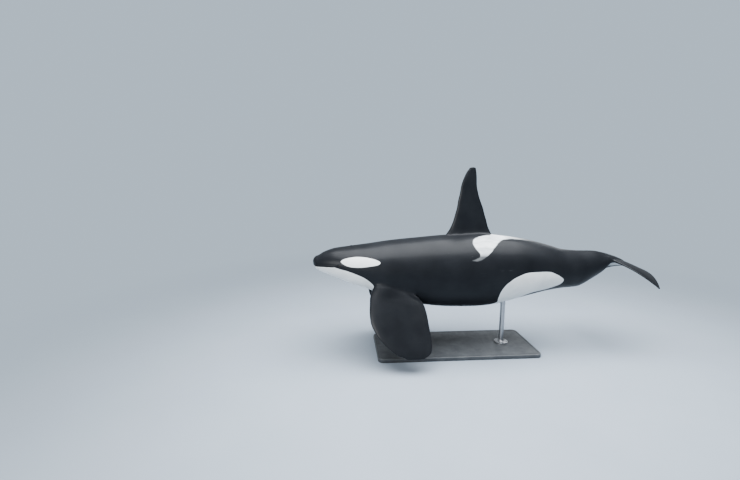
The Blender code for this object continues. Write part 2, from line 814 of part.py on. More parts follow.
def main():
    clear_scene()
    parts = make_collection("orca")
    cutters = make_collection("cutters")
    body = mark_as_cutter(make_body("body", cutters))
    grown_body = mark_as_cutter(make_body("grown_body", cutters, GAP))

    head, jaw = make_head_and_jaw(body, parts, cutters)
    trunk = make_trunk(body, parts, cutters)
    flukes = make_fluke_pieces(trunk["tail_stock"], grown_body, parts, cutters)
    dorsal = make_dorsal_fin(parts)
    flippers = [
        make_flipper("flipper_left", -1.0, parts),
        make_flipper("flipper_right", 1.0, parts),
    ]
    for fin in [dorsal] + flippers:
        apply_boolean(fin, grown_body, "DIFFERENCE")

    flesh = [head, *trunk.values(), *flukes, dorsal, *flippers]
    for piece in flesh:
        piece.data.materials.clear()
        piece.data.materials.append(make_material(piece.name + "_skin", SKIN_BLACK))
    jaw.data.materials.clear()
    jaw.data.materials.append(make_material("lower_jaw_skin", SKIN_WHITE))
    for piece in flesh + [jaw]:
        keep_largest_surface(piece)

    eyes = []
    for name, sign in (("eye_left", -1.0), ("eye_right", 1.0)):
        eyes.append(make_eye(name, sign, 0.0, parts, make_material(name + "_wet", EYE_BROWN)))
    stand = [make_base(parts, make_material("stand_base_paint", BASE_PAINT))]
    for name, x in (("stand_rod_front", ROD_FRONT_X), ("stand_rod_rear", ROD_REAR_X)):
        steel = make_material(name + "_steel", ROD_STEEL)
        stand.append(make_rod(name, x, grown_body, parts, steel))
    for rod in stand[1:]:
        keep_largest_surface(rod)

    everything = flesh + [jaw] + eyes + stand
    for obj in everything:
        obj.data.shade_smooth()
        obj.data.set_sharp_from_angle(angle=math.radians(35.0))
    place_whole(everything)


main()
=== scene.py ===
import math

import bmesh
import bpy
import numpy as np
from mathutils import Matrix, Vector
from mathutils.bvhtree import BVHTree


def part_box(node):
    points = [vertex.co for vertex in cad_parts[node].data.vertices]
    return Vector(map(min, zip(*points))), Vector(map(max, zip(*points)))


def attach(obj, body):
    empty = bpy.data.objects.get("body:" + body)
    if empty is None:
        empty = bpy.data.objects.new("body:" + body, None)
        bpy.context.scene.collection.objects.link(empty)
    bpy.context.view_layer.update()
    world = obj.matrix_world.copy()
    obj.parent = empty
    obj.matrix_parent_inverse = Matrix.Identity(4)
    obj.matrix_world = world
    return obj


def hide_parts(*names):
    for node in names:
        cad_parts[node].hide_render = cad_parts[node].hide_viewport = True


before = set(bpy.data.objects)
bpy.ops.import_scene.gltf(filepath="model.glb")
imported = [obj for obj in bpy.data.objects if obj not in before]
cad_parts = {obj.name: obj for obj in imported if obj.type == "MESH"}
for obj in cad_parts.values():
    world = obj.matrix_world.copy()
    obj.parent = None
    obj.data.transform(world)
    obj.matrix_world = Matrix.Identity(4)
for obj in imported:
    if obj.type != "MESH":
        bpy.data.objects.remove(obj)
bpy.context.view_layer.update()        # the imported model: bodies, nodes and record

scene = bpy.context.scene

# The whale is shaped along its own axis: x from snout to tail, left side at -y, z from the axis.
body = {
    # x, back, belly, half width, keel; a keel over 1 pinches the back and belly
    "stations": (
        (0.00, 0.306, 0.135, 0.100, 1.00),
        (0.08, 0.320, 0.060, 0.165, 1.00),
        (0.20, 0.387, 0.005, 0.225, 1.00),
        (0.40, 0.454, -0.080, 0.300, 1.00),
        (0.65, 0.487, -0.186, 0.375, 1.00),
        (1.00, 0.530, -0.308, 0.455, 1.00),
        (1.40, 0.585, -0.505, 0.510, 1.00),
        (1.90, 0.630, -0.605, 0.550, 1.00),
        (2.50, 0.680, -0.670, 0.570, 1.00),
        (3.00, 0.700, -0.680, 0.559, 1.02),
        (3.35, 0.668, -0.653, 0.538, 1.03),
        (3.70, 0.624, -0.575, 0.500, 1.05),
        (4.00, 0.573, -0.502, 0.455, 1.08),
        (4.20, 0.524, -0.455, 0.420, 1.10),
        (4.45, 0.455, -0.406, 0.372, 1.14),
        (4.70, 0.381, -0.376, 0.320, 1.19),
        (5.00, 0.352, -0.358, 0.255, 1.28),
        (5.30, 0.343, -0.212, 0.190, 1.30),
        (5.50, 0.305, -0.075, 0.150, 1.25),
        (5.66, 0.258, 0.090, 0.128, 1.05),
        (5.80, 0.208, 0.088, 0.105, 1.00),
        (5.92, 0.150, 0.070, 0.075, 1.00),
        (5.98, 0.102, 0.064, 0.030, 1.00),
    ),
    "chinPinch": 0.22,
    "chinPinchEnd": 1.50,
    "noseRounding": 0.07,
    "noseRings": 22,
    "bellyShare": 0.48,
    "ringStep": 0.02,
    "sides": 180,
    "standX": 2.65,           # middle of the stand under the whale
    "axisHeight": 1.52,       # of the whale's own zero over the floor
}
baseLow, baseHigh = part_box("stand_base")
whaleShift = np.array((
    0.5 * (baseLow.x + baseHigh.x) - body["standX"],
    0.5 * (baseLow.y + baseHigh.y),
    body["axisHeight"],
))


def smoothCurve(points):
    # runs through the points without overshoot, and takes arrays
    xs, ys = np.array(points, dtype=float).T
    steps = np.diff(xs)
    slopes = np.diff(ys) / steps
    tangents = np.zeros(len(xs))
    tangents[0], tangents[-1] = slopes[0], slopes[-1]
    for i in range(1, len(xs) - 1):
        if slopes[i - 1] * slopes[i] > 0.0:
            first = 2.0 * steps[i] + steps[i - 1]
            second = steps[i] + 2.0 * steps[i - 1]
            tangents[i] = (first + second) / (first / slopes[i - 1] + second / slopes[i])

    def value(x):
        x = np.clip(x, xs[0], xs[-1])
        i = np.clip(np.searchsorted(xs, x) - 1, 0, len(xs) - 2)
        t = (x - xs[i]) / steps[i]
        ends = ys[i] * (1 + 2 * t) * (1 - t) ** 2 + ys[i + 1] * t * t * (3 - 2 * t)
        bends = tangents[i] * t * (1 - t) ** 2 + tangents[i + 1] * t * t * (t - 1)
        return ends + bends * steps[i]

    return value


def smoothStep(low, high, x):
    t = np.clip((x - low) / (high - low), 0.0, 1.0)
    return t * t * (3.0 - 2.0 * t)


def fadeOut(low, high, x):
    return 1.0 - smoothStep(low, high, x)


stations = np.array(body["stations"])
backCurve, bellyCurve, widthCurve, keelCurve = [
    smoothCurve(stations[:, (0, k)]) for k in (1, 2, 3, 4)
]
bodyEnd = stations[-1, 0]


def bodyForm(x):
    low = bellyCurve(x)
    middle = low + body["bellyShare"] * (backCurve(x) - low)
    nose = body["noseRounding"]
    rounding = np.sqrt(np.clip(1.0 - np.clip(1.0 - x / nose, 0.0, 1.0) ** 2, 0.0, 1.0))
    keel = keelCurve(x)
    chin = keel + body["chinPinch"] * np.clip(1.0 - x / body["chinPinchEnd"], 0.0, None)
    up = (backCurve(x) - middle) * rounding
    down = (middle - low) * rounding
    return middle, up, down, widthCurve(x) * rounding, keel, chin


def sectionAt(x, z):
    # height over the middle of the section, and its reach, half width and pinch on that side
    middle, up, down, wide, keel, chin = bodyForm(x)
    rise = z - middle
    return rise, np.where(rise > 0.0, up, down), wide, np.where(rise > 0.0, keel, chin)


def sidePoint(x, z, sign):
    rise, reach, wide, pinch = sectionAt(x, z)
    share = np.clip(rise / reach, -1.0, 1.0)
    return np.array((x, sign * wide * np.sqrt(1.0 - share * share) ** pinch, z))


def sideNormal(x, z, sign, step=0.004):
    here = sidePoint(x, z, sign)
    normal = np.cross(sidePoint(x + step, z, sign) - here, sidePoint(x, z + step, sign) - here)
    normal /= np.linalg.norm(normal)
    return normal if normal[1] * sign > 0.0 else -normal


def girthAngle(points):
    # degrees round the body from the back, alike on both sides
    rise, reach, wide, _ = sectionAt(np.clip(points[:, 0], 0.004, None), points[:, 2])
    return np.degrees(np.arctan2(np.abs(points[:, 1]) / wide, rise / reach))


def loftShell(rings):
    # quads between the rings and a fan over each end
    count, sides = rings.shape[:2]
    verts = rings.reshape(-1, 3)
    k = np.arange(sides)
    n = (k + 1) % sides
    rows = np.arange(count - 1)[:, None] * sides
    quads = np.stack((rows + k, rows + n, rows + sides + n, rows + sides + k), axis=2)
    ends = np.array((rings[0].mean(axis=0), rings[-1].mean(axis=0)))
    first, last, start = len(verts), len(verts) + 1, (count - 1) * sides
    pairs = list(zip(k.tolist(), n.tolist()))
    fans = [(first, b, a) for a, b in pairs] + [(start + a, start + b, last) for a, b in pairs]
    return np.concatenate((verts, ends)), quads.reshape(-1, 4).tolist() + fans


def bodyShell():
    nose = body["noseRounding"]
    noseRings = nose * (1.0 - np.cos(np.radians(np.linspace(3.0, 90.0, body["noseRings"]))))
    count = round((bodyEnd - nose) / body["ringStep"])
    xs = np.concatenate((noseRings, np.linspace(nose, bodyEnd, count + 1)[1:]))
    angles = np.linspace(0.0, 2.0 * math.pi, body["sides"], endpoint=False)
    side, rise = np.sin(angles), np.cos(angles)
    middle, up, down, wide, keel, chin = [v[:, None] for v in bodyForm(xs)]
    pinch = np.where(rise > 0.0, keel, chin)
    y = np.sign(side) * wide * np.abs(side) ** pinch
    z = middle + rise * np.where(rise > 0.0, up, down)
    return loftShell(np.stack((np.broadcast_to(xs[:, None], y.shape), y, z), axis=2))


finEdge = {
    "thickness": 0.016,
    "rootSwell": 0.050,       # how much thicker the rear edge is where it leaves the body
    "rootReach": 0.17,
    "thickestAt": 0.32,
    "rearPower": 0.9,         # under 1 fills the section behind that
    "steps": 34,
    "tipRings": 8,            # close rings that round the tip
    "tipOpening": 0.3,        # keeps the last of them from closing to nothing
}


def finSection(leading, trailing, thickness, rearEdge):
    # chord places and half thickness round a fin section, with a rounded trailing edge
    chord = 0.5 - 0.5 * np.cos(np.linspace(0.0, math.pi, finEdge["steps"] + 1))
    peak = finEdge["thickestAt"]
    ahead = np.sqrt(np.clip(1.0 - (1.0 - chord / peak) ** 2, 0.0, 1.0))
    behind = np.cos(0.5 * math.pi * np.clip((chord - peak) / (1.0 - peak), 0.0, 1.0))
    behind = behind ** finEdge["rearPower"]
    half = 0.5 * thickness * np.where(chord < peak, ahead, behind)
    edge = np.where(chord < peak, 0.5 * finEdge["thickness"], 0.5 * rearEdge)
    length = trailing - leading
    inset = np.minimum(chord, 1.0 - chord) * length
    cap = edge * np.sqrt(np.clip(1.0 - (1.0 - np.minimum(inset / edge, 1.0)) ** 2, 0.0, 1.0))
    half = np.maximum(half, cap)
    half[0] = half[-1] = 0.0
    along = leading + length * chord
    return np.concatenate((along[::-1], along[1:-1])), np.concatenate((half[::-1], -half[1:-1]))


def finRings(fin, place):
    # even levels, then close ones round the tip; the share is how full the chord is
    lead, trail, thick = [smoothCurve(fin[key]) for key in ("leading", "trailing", "thickness")]
    start, last, count = fin["levels"]
    levels = [(level, 1.0) for level in np.linspace(start, last, count)]
    for i in range(1, finEdge["tipRings"] + 1):
        turn = 0.5 * math.pi * i / (finEdge["tipRings"] + finEdge["tipOpening"])
        levels.append((last + (fin["tip"] - last) * math.sin(turn), math.cos(turn)))
    rings = []
    for level, share in levels:
        front, rear = lead(level), trail(level)
        middle = 0.5 * (front + rear)
        front, rear = middle + (front - middle) * share, middle + (rear - middle) * share
        swell = fadeOut(fin["root"], fin["root"] + finEdge["rootReach"], level)
        rearEdge = finEdge["thickness"] + finEdge["rootSwell"] * swell
        along, offset = finSection(front, rear, thick(level) * share, rearEdge)
        rings.append(place(level, along, offset))
    return np.array(rings)


dorsalFin = {
    # leading and trailing edge as (z, x), thickness as (z, t)
    "leading": ((0.58, 2.350), (0.68, 2.442), (0.80, 2.520), (0.95, 2.578), (1.21, 2.640),
                (1.46, 2.684), (1.68, 2.733), (1.82, 2.799), (1.88, 2.842)),
    "trailing": ((0.58, 3.420), (0.68, 3.318), (0.80, 3.240), (0.95, 3.192), (1.24, 3.094),
                 (1.46, 3.013), (1.68, 2.981), (1.82, 2.972), (1.88, 2.960)),
    "thickness": ((0.58, 0.27), (0.68, 0.170), (0.80, 0.113), (1.20, 0.082), (1.88, 0.034)),
    "levels": (0.58, 1.88, 90),    # first and last of the even rings, and how many
    "tip": 1.905,
    "root": 0.66,
    "ripple": 0.003,
    "rippleTurns": 23.0,
    "rippleStart": (0.9, 1.2),
}


def dorsalFinShell():
    def place(level, along, offset):
        ripple = dorsalFin["ripple"] * math.sin(dorsalFin["rippleTurns"] * level)
        ripple *= smoothStep(*dorsalFin["rippleStart"], level)
        return np.stack((along + ripple, offset, np.full(len(along), level)), axis=1)

    return loftShell(finRings(dorsalFin, place))


flipper = {
    "rootY": 0.4875,
    "rootZ": -0.2925,
    "drop": 60.0,
    "pivotX": 1.35,
    "trail": {-1.0: 0.0, 1.0: 15.0},    # degrees swung back, left and right
    "leading": ((-0.42, 1.150), (-0.10, 1.058), (0.00, 1.020), (0.08, 1.004), (0.17, 0.998),
                (0.30, 0.989), (0.46, 1.000), (0.70, 1.096), (0.91, 1.276), (1.03, 1.420),
                (1.09, 1.560)),
    "trailing": ((-0.42, 1.620), (-0.10, 1.715), (0.08, 1.862), (0.22, 1.948), (0.40, 1.984),
                 (0.56, 1.999), (0.86, 2.022), (0.96, 2.013), (1.03, 1.981), (1.09, 1.895)),
    "thickness": ((-0.42, 0.10), (-0.10, 0.160), (0.10, 0.110), (0.60, 0.075), (1.09, 0.034)),
    "levels": (-0.42, 1.09, 100),
    "tip": 1.112,
    "root": -0.02,
}


def flipperShell(side):
    drop, swing = math.radians(flipper["drop"]), math.radians(flipper["trail"][side])
    down = np.array((0.0, side * math.cos(drop), -math.sin(drop)))
    back = np.array((1.0, 0.0, 0.0))
    outward = down * math.cos(swing) + back * math.sin(swing)
    chordWay = back * math.cos(swing) - down * math.sin(swing)
    face = np.array((0.0, side * math.sin(drop), math.cos(drop)))
    root = np.array((flipper["pivotX"], side * flipper["rootY"], flipper["rootZ"]))

    def place(level, along, offset):
        reach = (along - flipper["pivotX"])[:, None] * chordWay
        return root + outward * level + reach + offset[:, None] * face

    return loftShell(finRings(flipper, place))


flukes = {
    "rootX": 5.60,
    "rootZ": 0.195,
    "pitch": 17.0,
    "leading": ((0.00, -0.100), (0.10, 0.000), (0.25, 0.100), (0.40, 0.190), (0.55, 0.290),
                (0.68, 0.390), (0.79, 0.490)),
    "trailing": ((0.00, 0.560), (0.06, 0.645), (0.16, 0.680), (0.30, 0.675), (0.45, 0.645),
                 (0.60, 0.600), (0.72, 0.560), (0.79, 0.535)),
    "thickness": ((0.00, 0.105), (0.15, 0.085), (0.40, 0.054), (0.79, 0.022)),
    "levels": (0.0, 0.79, 70),
    "tip": 0.82,
    "root": -1.0,             # no swell here, because the lobes run into each other
    "rootDroop": 4.0,
    "tipDroop": 40.0,
    "droopPower": 1.5,
    "droopSteps": 24,
}
flukePitch = math.radians(flukes["pitch"])
flukeChordWay = np.array((math.cos(flukePitch), 0.0, -math.sin(flukePitch)))
flukeFace = np.array((math.sin(flukePitch), 0.0, math.cos(flukePitch)))
flukeRoot = np.array((flukes["rootX"], 0.0, flukes["rootZ"]))


def flukeLine(span):
    # sideways reach and fall of the drooping lobe at a span along it
    steps, more = flukes["droopSteps"], flukes["tipDroop"] - flukes["rootDroop"]
    share = (np.arange(steps) + 0.5) / steps * span / flukes["tip"]
    droop = np.radians(flukes["rootDroop"] + more * share ** flukes["droopPower"])
    return np.cos(droop).mean() * span, np.sin(droop).mean() * span


def flukeShell():
    def place(level, along, offset):
        reach, fall = flukeLine(level)
        edge = along[:, None] * flukeChordWay + offset[:, None] * flukeFace
        return flukeRoot + edge + np.array((0.0, reach, -fall))

    half = finRings(flukes, place)
    other = half[:0:-1] * np.array((1.0, -1.0, 1.0))
    return loftShell(np.concatenate((other, half)))


# One closed skin from the body and its fins

skin = {
    "voxel": 0.007,
    "settleRounds": 8,        # smoothing of the whole skin that keeps its thin edges
    "settleShares": (0.5, -0.53),
    "creaseDepth": 0.0007,    # a root crease lies at least this much below its neighbours
    "edgeDepth": 0.0007,      # and a thin edge stands at least this much proud of them
    "edgeRings": 4,
    "filletRings": 18,
    "filletRounds": 130,
}


def meshFromShell(name, verts, faces):
    mesh = bpy.data.meshes.new(name)
    mesh.from_pydata(verts.tolist(), [], faces)
    mesh.update()
    return mesh


def joinShells(shells):
    verts, faces, start = [], [], 0
    for points, polygons in shells:
        verts.append(points)
        faces += [tuple(i + start for i in f) for f in polygons]
        start += len(points)
    return np.concatenate(verts), faces


def fusedSkin(verts, faces):
    rough = bpy.data.objects.new("skinRough", meshFromShell("skinRough", verts, faces))
    scene.collection.objects.link(rough)
    remesh = rough.modifiers.new("fuse", "REMESH")
    remesh.mode = "VOXEL"
    remesh.voxel_size = skin["voxel"]
    remesh.adaptivity = 0.0
    graph = bpy.context.evaluated_depsgraph_get()
    mesh = bpy.data.meshes.new_from_object(rough.evaluated_get(graph))
    bpy.data.objects.remove(rough, do_unlink=True)
    return mesh


def readValues(items, key, width, kind=float):
    flat = np.empty(width * len(items), dtype=kind)
    items.foreach_get(key, flat)
    return flat.reshape(-1, width)


def pointsOf(mesh):
    return readValues(mesh.vertices, "co", 3)


def edgesOf(mesh):
    return readValues(mesh.edges, "vertices", 2, np.int32)


def normalsOf(mesh):
    return readValues(mesh.vertex_normals, "vector", 3)


def setPoints(mesh, points):
    mesh.vertices.foreach_set("co", points.ravel())
    mesh.update()


def neighbours(edges, size):
    # every edge from both its ends, and how many each point has
    ends = np.concatenate((edges[:, 0], edges[:, 1]))
    others = np.concatenate((edges[:, 1], edges[:, 0]))
    return ends, others, np.maximum(np.bincount(ends, minlength=size), 1)[:, None]


def wayToMiddle(points, ends, others, count):
    # from each point to the middle of its neighbours
    sums = [np.bincount(ends, points[others, a], minlength=len(points)) for a in range(3)]
    return np.stack(sums, axis=1) / count - points


def relax(points, edges, weights, rounds, shares=(0.5,)):
    # moves each point by its weight and each share towards the middle of its neighbours
    moving = weights > 0.0
    ids, local = np.unique(edges[moving[edges].any(axis=1)], return_inverse=True)
    around = neighbours(local.reshape(-1, 2), len(ids))
    part, pull = points[ids], weights[ids][:, None]
    for share in shares * rounds:
        part = part + wayToMiddle(part, *around) * pull * share
    result = points.copy()
    result[ids] = np.where(moving[ids][:, None], part, points[ids])
    return result


def bendWeights(points, edges, normals, least, rings):
    # 1 where the skin dips by at least this much, or bulges for a negative one, fading to 0
    ends, others, count = neighbours(edges, len(points))
    depth = (wayToMiddle(points, ends, others, count) * normals).sum(axis=1)
    weights = (np.sign(least) * depth > abs(least)).astype(float)
    for _ in range(rings):
        spread = weights.copy()
        np.maximum.at(spread, ends, weights[others] - 1.0 / rings)
        weights = spread
    return weights


def settleOn(tree, points, weights):
    # puts the thin edges back on the smooth forms that the remesh left stepped
    result = points.copy()
    for i in np.flatnonzero(weights > 0.0):
        nearest = np.array(tree.find_nearest(points[i])[0])
        result[i] += (nearest - result[i]) * weights[i]
    return result


print("shaping the skin")
roughVerts, roughFaces = joinShells(
    [bodyShell(), dorsalFinShell(), flipperShell(-1.0), flipperShell(1.0), flukeShell()])
skinMesh = fusedSkin(roughVerts, roughFaces)
points, edges, normals = pointsOf(skinMesh), edgesOf(skinMesh), normalsOf(skinMesh)
fillet = bendWeights(points, edges, normals, skin["creaseDepth"], skin["filletRings"])
thin = bendWeights(points, edges, normals, -skin["edgeDepth"], skin["edgeRings"])
thin = np.where(fillet > 0.0, 0.0, thin)
points = relax(points, edges, fillet, skin["filletRounds"])
points = relax(points, edges, np.ones(len(points)), skin["settleRounds"], skin["settleShares"])
points = settleOn(BVHTree.FromPolygons(roughVerts.tolist(), roughFaces), points, thin)
print("thin edges settled:", int((thin > 0.0).sum()), "points")
setPoints(skinMesh, points)
print("skin fused:", len(points), "points")


# Head detail: mouth, lids and blowhole, and the folds of the belly

mouth = {
    "frontZ": 0.150,
    "cornerZ": 0.165,
    "cornerX": 0.42,
    "drop": 5.0,                      # how fast the line falls behind its corner
    "dropPower": 1.6,
    "grooveDepth": 0.010,
    "grooveWidth": 0.0042,
    "grooveEnd": (-0.03, 0.045),      # where it fades out, from the corner
    "lipRise": 0.0055,
    "lipOffset": 0.017,
    "lipWidth": 0.0095,
    "lipEnd": (-0.16, 0.01),
    "lipLeast": 0.35,                 # share of the lips' swell that is left there
    "fineBehind": 0.06,               # how far the finer skin runs on behind the corner
}
eye = {
    "x": 0.485,
    "z": 0.186,
    "radius": 0.026,
    "proud": 0.009,
    "openingLength": 0.0235,          # half the length between the lids
    "openingHeight": 0.0120,
    "openingPower": 1.8,              # under 2 sharpens the corners
    "openingEdge": (0.90, 1.08),
    "lidRise": 0.0078,
    "lidReach": 1.35,                 # how far the lids' swell spreads, in openings
    "marginRise": 0.0013,
    "marginPlace": (1.14, 0.11),      # middle and width of the lids' margin, in openings
    # above or below, depth, place and width in openings, middle and half length of each fold
    "lidFolds": (
        (1.0, 0.0026, 1.80, 0.15, 0.003, 0.034),
        (1.0, 0.0013, 2.75, 0.20, -0.006, 0.036),
        (-1.0, 0.0015, 1.62, 0.12, -0.002, 0.026),
        (-1.0, 0.0009, 2.30, 0.16, 0.004, 0.030),
    ),
    "foldStart": (-0.002, 0.006),
    "cornerFold": 0.0013,
    "cornerSlopes": (-0.34, 0.10, 0.48),
    "cornerWidth": 0.0018,
    "cornerStart": (0.002, 0.008),
    "cornerEnd": (0.014, 0.030),
    "browRise": 0.0042,
    "browHeight": 0.030,
    "browArch": 6.0,
    "browSize": (0.042, 0.009),       # half length and width
    "socketDepth": 0.0040,            # how far the skin lies under the eyeball
    "detailReach": 0.13,
    "fineStretch": 1.3,               # the finer skin is this much longer than high
    "fineDepth": 0.1,
}
blowhole = {
    "x": 0.70,
    "y": -0.015,
    "lowest": 0.3,
    "radius": 0.062,
    "spread": 68.0,
    "taper": 2.6,
    "slitDepth": 0.016,
    "slitWidth": 0.0052,
    "rimRise": 0.0075,
    "rimOffset": 0.019,
    "rimWidth": 0.011,
    "lipRise": 0.0045,
    "lipOffset": -0.016,
    "lipWidth": 0.009,
    "dishDepth": 0.006,
    "dishPlace": 0.55,
    "dishWidth": 0.045,
}
folds = {
    # x of the middle, half length, depth and width on the middle of the belly
    "navel": (2.90, 0.018, 0.006, 0.010),
    "slit": (3.92, 0.150, 0.008, 0.006),
    "vent": (4.24, 0.022, 0.006, 0.007),
}
foldShape = {
    # in half lengths and widths of the fold
    "straight": 0.6,
    "end": 0.45,
    "besideRise": 0.35,
    "besidePlace": 2.4,
    "besideWidth": 1.6,
    "besideEnd": 0.5,
    "highest": -0.1,          # they lie below this height, in metres
}
detail = {
    "headEnd": 0.95,
    "swellRise": 0.0025,      # slow swells keep the long flanks from being too even
    # turns along, across and up, and the shift of each wave
    "swellWaves": ((2.1, 0.0, 3.0, 0.0), (1.7, -2.6, 0.0, 0.8)),
    "swellStart": (0.8, 1.4),
    "swellEnd": (4.9, 5.3),
    # finer skin round the mouth, eyes, blowhole and folds by these reaches, and its smoothing
    "fineRounds": (
        (0.050, 0.100, 0.075, 0.060, 3),
        (0.034, 0.075, 0.050, 0.030, 3),
        (0.016, 0.055, 0.030, 0.000, 2),
        (0.000, 0.040, 0.000, 0.000, 2),
    ),
}


def mouthHeight(x):
    share = np.clip(x / mouth["cornerX"], 0.0, 1.0)
    return mouth["frontZ"] + (mouth["cornerZ"] - mouth["frontZ"]) * share


def mouthOffset(points):
    # height over the lip line, which drops a little behind its corner
    past = np.clip(points[:, 0] - mouth["cornerX"], 0.0, None)
    line = mouthHeight(points[:, 0]) - mouth["drop"] * past ** mouth["dropPower"]
    return points[:, 2] - line


def eyeFrame(sign):
    normal = sideNormal(eye["x"], eye["z"], sign)
    centre = sidePoint(eye["x"], eye["z"], sign)
    along = np.cross(np.cross(normal, (1.0, 0.0, 0.0)), normal)
    along /= np.linalg.norm(along)
    return centre, normal, along, np.cross(along, normal) * sign


def eyeReach(points, sign):
    centre, normal, along, upward = eyeFrame(sign)
    rel = points - centre
    return rel @ along, rel @ upward, rel @ normal


def blowholeReach(points):
    # distance from the crescent, distance outside its circle, and how full the crescent is
    middle = np.array((blowhole["x"] - blowhole["radius"], blowhole["y"]))
    rel = points[:, :2] - middle
    across = np.hypot(*rel.T) - blowhole["radius"]
    turn = np.abs(np.degrees(np.arctan2(rel[:, 1], rel[:, 0])))
    fullness = np.clip(1.0 - (turn / blowhole["spread"]) ** blowhole["taper"], 0.0, 1.0)
    beyond = np.radians(np.clip(turn - blowhole["spread"], 0.0, None)) * blowhole["radius"]
    return np.hypot(across, beyond), across, fullness


def nearDetail(points, mouthReach, eyeSize, holeReach, foldReach):
    chosen = np.zeros(len(points), dtype=bool)
    head = np.flatnonzero(points[:, 0] < detail["headEnd"])
    near = points[head]
    found = np.abs(mouthOffset(near)) < mouthReach
    found &= near[:, 0] < mouth["cornerX"] + mouth["fineBehind"] + mouthReach
    for sign in (-1.0, 1.0):
        a, b, level = eyeReach(near, sign)
        size = np.hypot(a, eye["fineStretch"] * b)
        found |= (size < eyeSize) & (np.abs(level) < eye["fineDepth"])
    found |= (blowholeReach(near)[0] < holeReach) & (near[:, 2] > blowhole["lowest"])
    chosen[head] = found
    belly = (np.abs(points[:, 1]) < foldReach) & (points[:, 2] < foldShape["highest"])
    for x, half, _, _ in folds.values():
        chosen |= belly & (np.abs(points[:, 0] - x) < half + foldReach)
    return chosen


def refineSkin(mesh, reaches, rounds):
    # splits the faces within these reaches in four, and settles the new points
    inside = nearDetail(pointsOf(mesh), *reaches)
    builder = bmesh.new()
    builder.from_mesh(mesh)
    chosen = [e for e in builder.edges if inside[e.verts[0].index] and inside[e.verts[1].index]]
    bmesh.ops.subdivide_edges(builder, edges=chosen, cuts=1, use_grid_fill=True)
    builder.to_mesh(mesh)
    builder.free()
    points = pointsOf(mesh)
    weights = nearDetail(points, *reaches).astype(float)
    setPoints(mesh, relax(points, edgesOf(mesh), weights, rounds))


def bump(distance, width):
    return np.exp(-(distance / width) ** 2)


def lidHeight(a, b, level):
    # lids, their folds and the socket, from places along the eye, up it and out of it
    ring = (np.abs(a) / eye["openingLength"]) ** eye["openingPower"]
    ring = np.sqrt(ring + (b / eye["openingHeight"]) ** 2)
    lids = eye["lidRise"] * bump(np.clip(ring - 1.0, 0.0, None), eye["lidReach"])
    marginPlace, marginWidth = eye["marginPlace"]
    lids += eye["marginRise"] * bump(ring - marginPlace, marginWidth)
    for side, depth, place, width, middle, half in eye["lidFolds"]:
        fold = bump(ring - place, width) * smoothStep(*eye["foldStart"], side * b)
        lids -= depth * fold * bump(a - middle, half)
    past = a - eye["openingLength"]
    for slope in eye["cornerSlopes"]:
        crease = eye["cornerFold"] * bump(b - slope * past, eye["cornerWidth"])
        lids -= crease * smoothStep(*eye["cornerStart"], past) * fadeOut(*eye["cornerEnd"], past)
    browLength, browWidth = eye["browSize"]
    brow = bump(b - eye["browHeight"] + eye["browArch"] * a * a, browWidth) * bump(a, browLength)
    lids += eye["browRise"] * brow
    ball = np.sqrt(np.clip(eye["radius"] ** 2 - a ** 2 - b ** 2, 0.0, None))
    pit = ball - (eye["radius"] - eye["proud"]) - eye["socketDepth"] - level
    inside = fadeOut(*eye["openingEdge"], ring)
    return lids * (1.0 - inside) + pit * inside


def headHeight(points):
    # mouth line, lips, lids and blowhole
    offset, behind = mouthOffset(points), points[:, 0] - mouth["cornerX"]
    fade, lipFade = fadeOut(*mouth["grooveEnd"], behind), fadeOut(*mouth["lipEnd"], behind)
    height = -mouth["grooveDepth"] * bump(offset, mouth["grooveWidth"]) * fade
    lipShare = mouth["lipLeast"] + (1.0 - mouth["lipLeast"]) * lipFade
    for side in (-1.0, 1.0):
        lip = bump(offset - side * mouth["lipOffset"], mouth["lipWidth"])
        height += mouth["lipRise"] * lip * lipShare * fade
        a, b, level = eyeReach(points, side)
        close = (points[:, 1] * side > 0.0) & (np.hypot(a, b) < eye["detailReach"])
        height += np.where(close, lidHeight(a, b, level), 0.0)

    distance, across, fullness = blowholeReach(points)
    hole = -blowhole["slitDepth"] * bump(distance, blowhole["slitWidth"]) * np.sqrt(fullness)
    for part in ("rim", "lip"):
        swell = bump(across - blowhole[part + "Offset"], blowhole[part + "Width"])
        hole += blowhole[part + "Rise"] * swell * fullness
    centre = np.array((blowhole["x"] - blowhole["dishPlace"] * blowhole["radius"], blowhole["y"]))
    out = np.hypot(*(points[:, :2] - centre).T)
    hole -= blowhole["dishDepth"] * bump(out, blowhole["dishWidth"])
    return height + np.where(points[:, 2] > blowhole["lowest"], hole, 0.0)


def detailHeight(points):
    # how far each skin point moves out along its normal
    x, y, z = points.T
    height = detail["swellRise"] * smoothStep(*detail["swellStart"], x)
    height *= fadeOut(*detail["swellEnd"], x)
    for along, across, up, shift in detail["swellWaves"]:
        height *= np.sin(along * x + across * np.abs(y) + up * z + shift)

    head = np.flatnonzero(x < detail["headEnd"])
    height[head] += headHeight(points[head])

    shape = foldShape
    for middle, half, depth, width in folds.values():
        past = np.clip(np.abs(x - middle) - shape["straight"] * half, 0.0, None)
        groove = bump(y, width) * bump(past, shape["end"] * half)
        beside = bump(np.abs(y) - shape["besidePlace"] * width, shape["besideWidth"] * width)
        beside *= bump(past, shape["besideEnd"] * half)
        fold = depth * (shape["besideRise"] * beside - groove)
        height += np.where(z < shape["highest"], fold, 0.0)
    return height


print("refining the head")
for *reaches, rounds in detail["fineRounds"]:
    refineSkin(skinMesh, reaches, rounds)
bareSkin, bareNormals = pointsOf(skinMesh), normalsOf(skinMesh)
heights = detailHeight(bareSkin)
print("skin refined:", len(bareSkin), "points")


# Markings: signed distance to the edge of each patch, positive inside

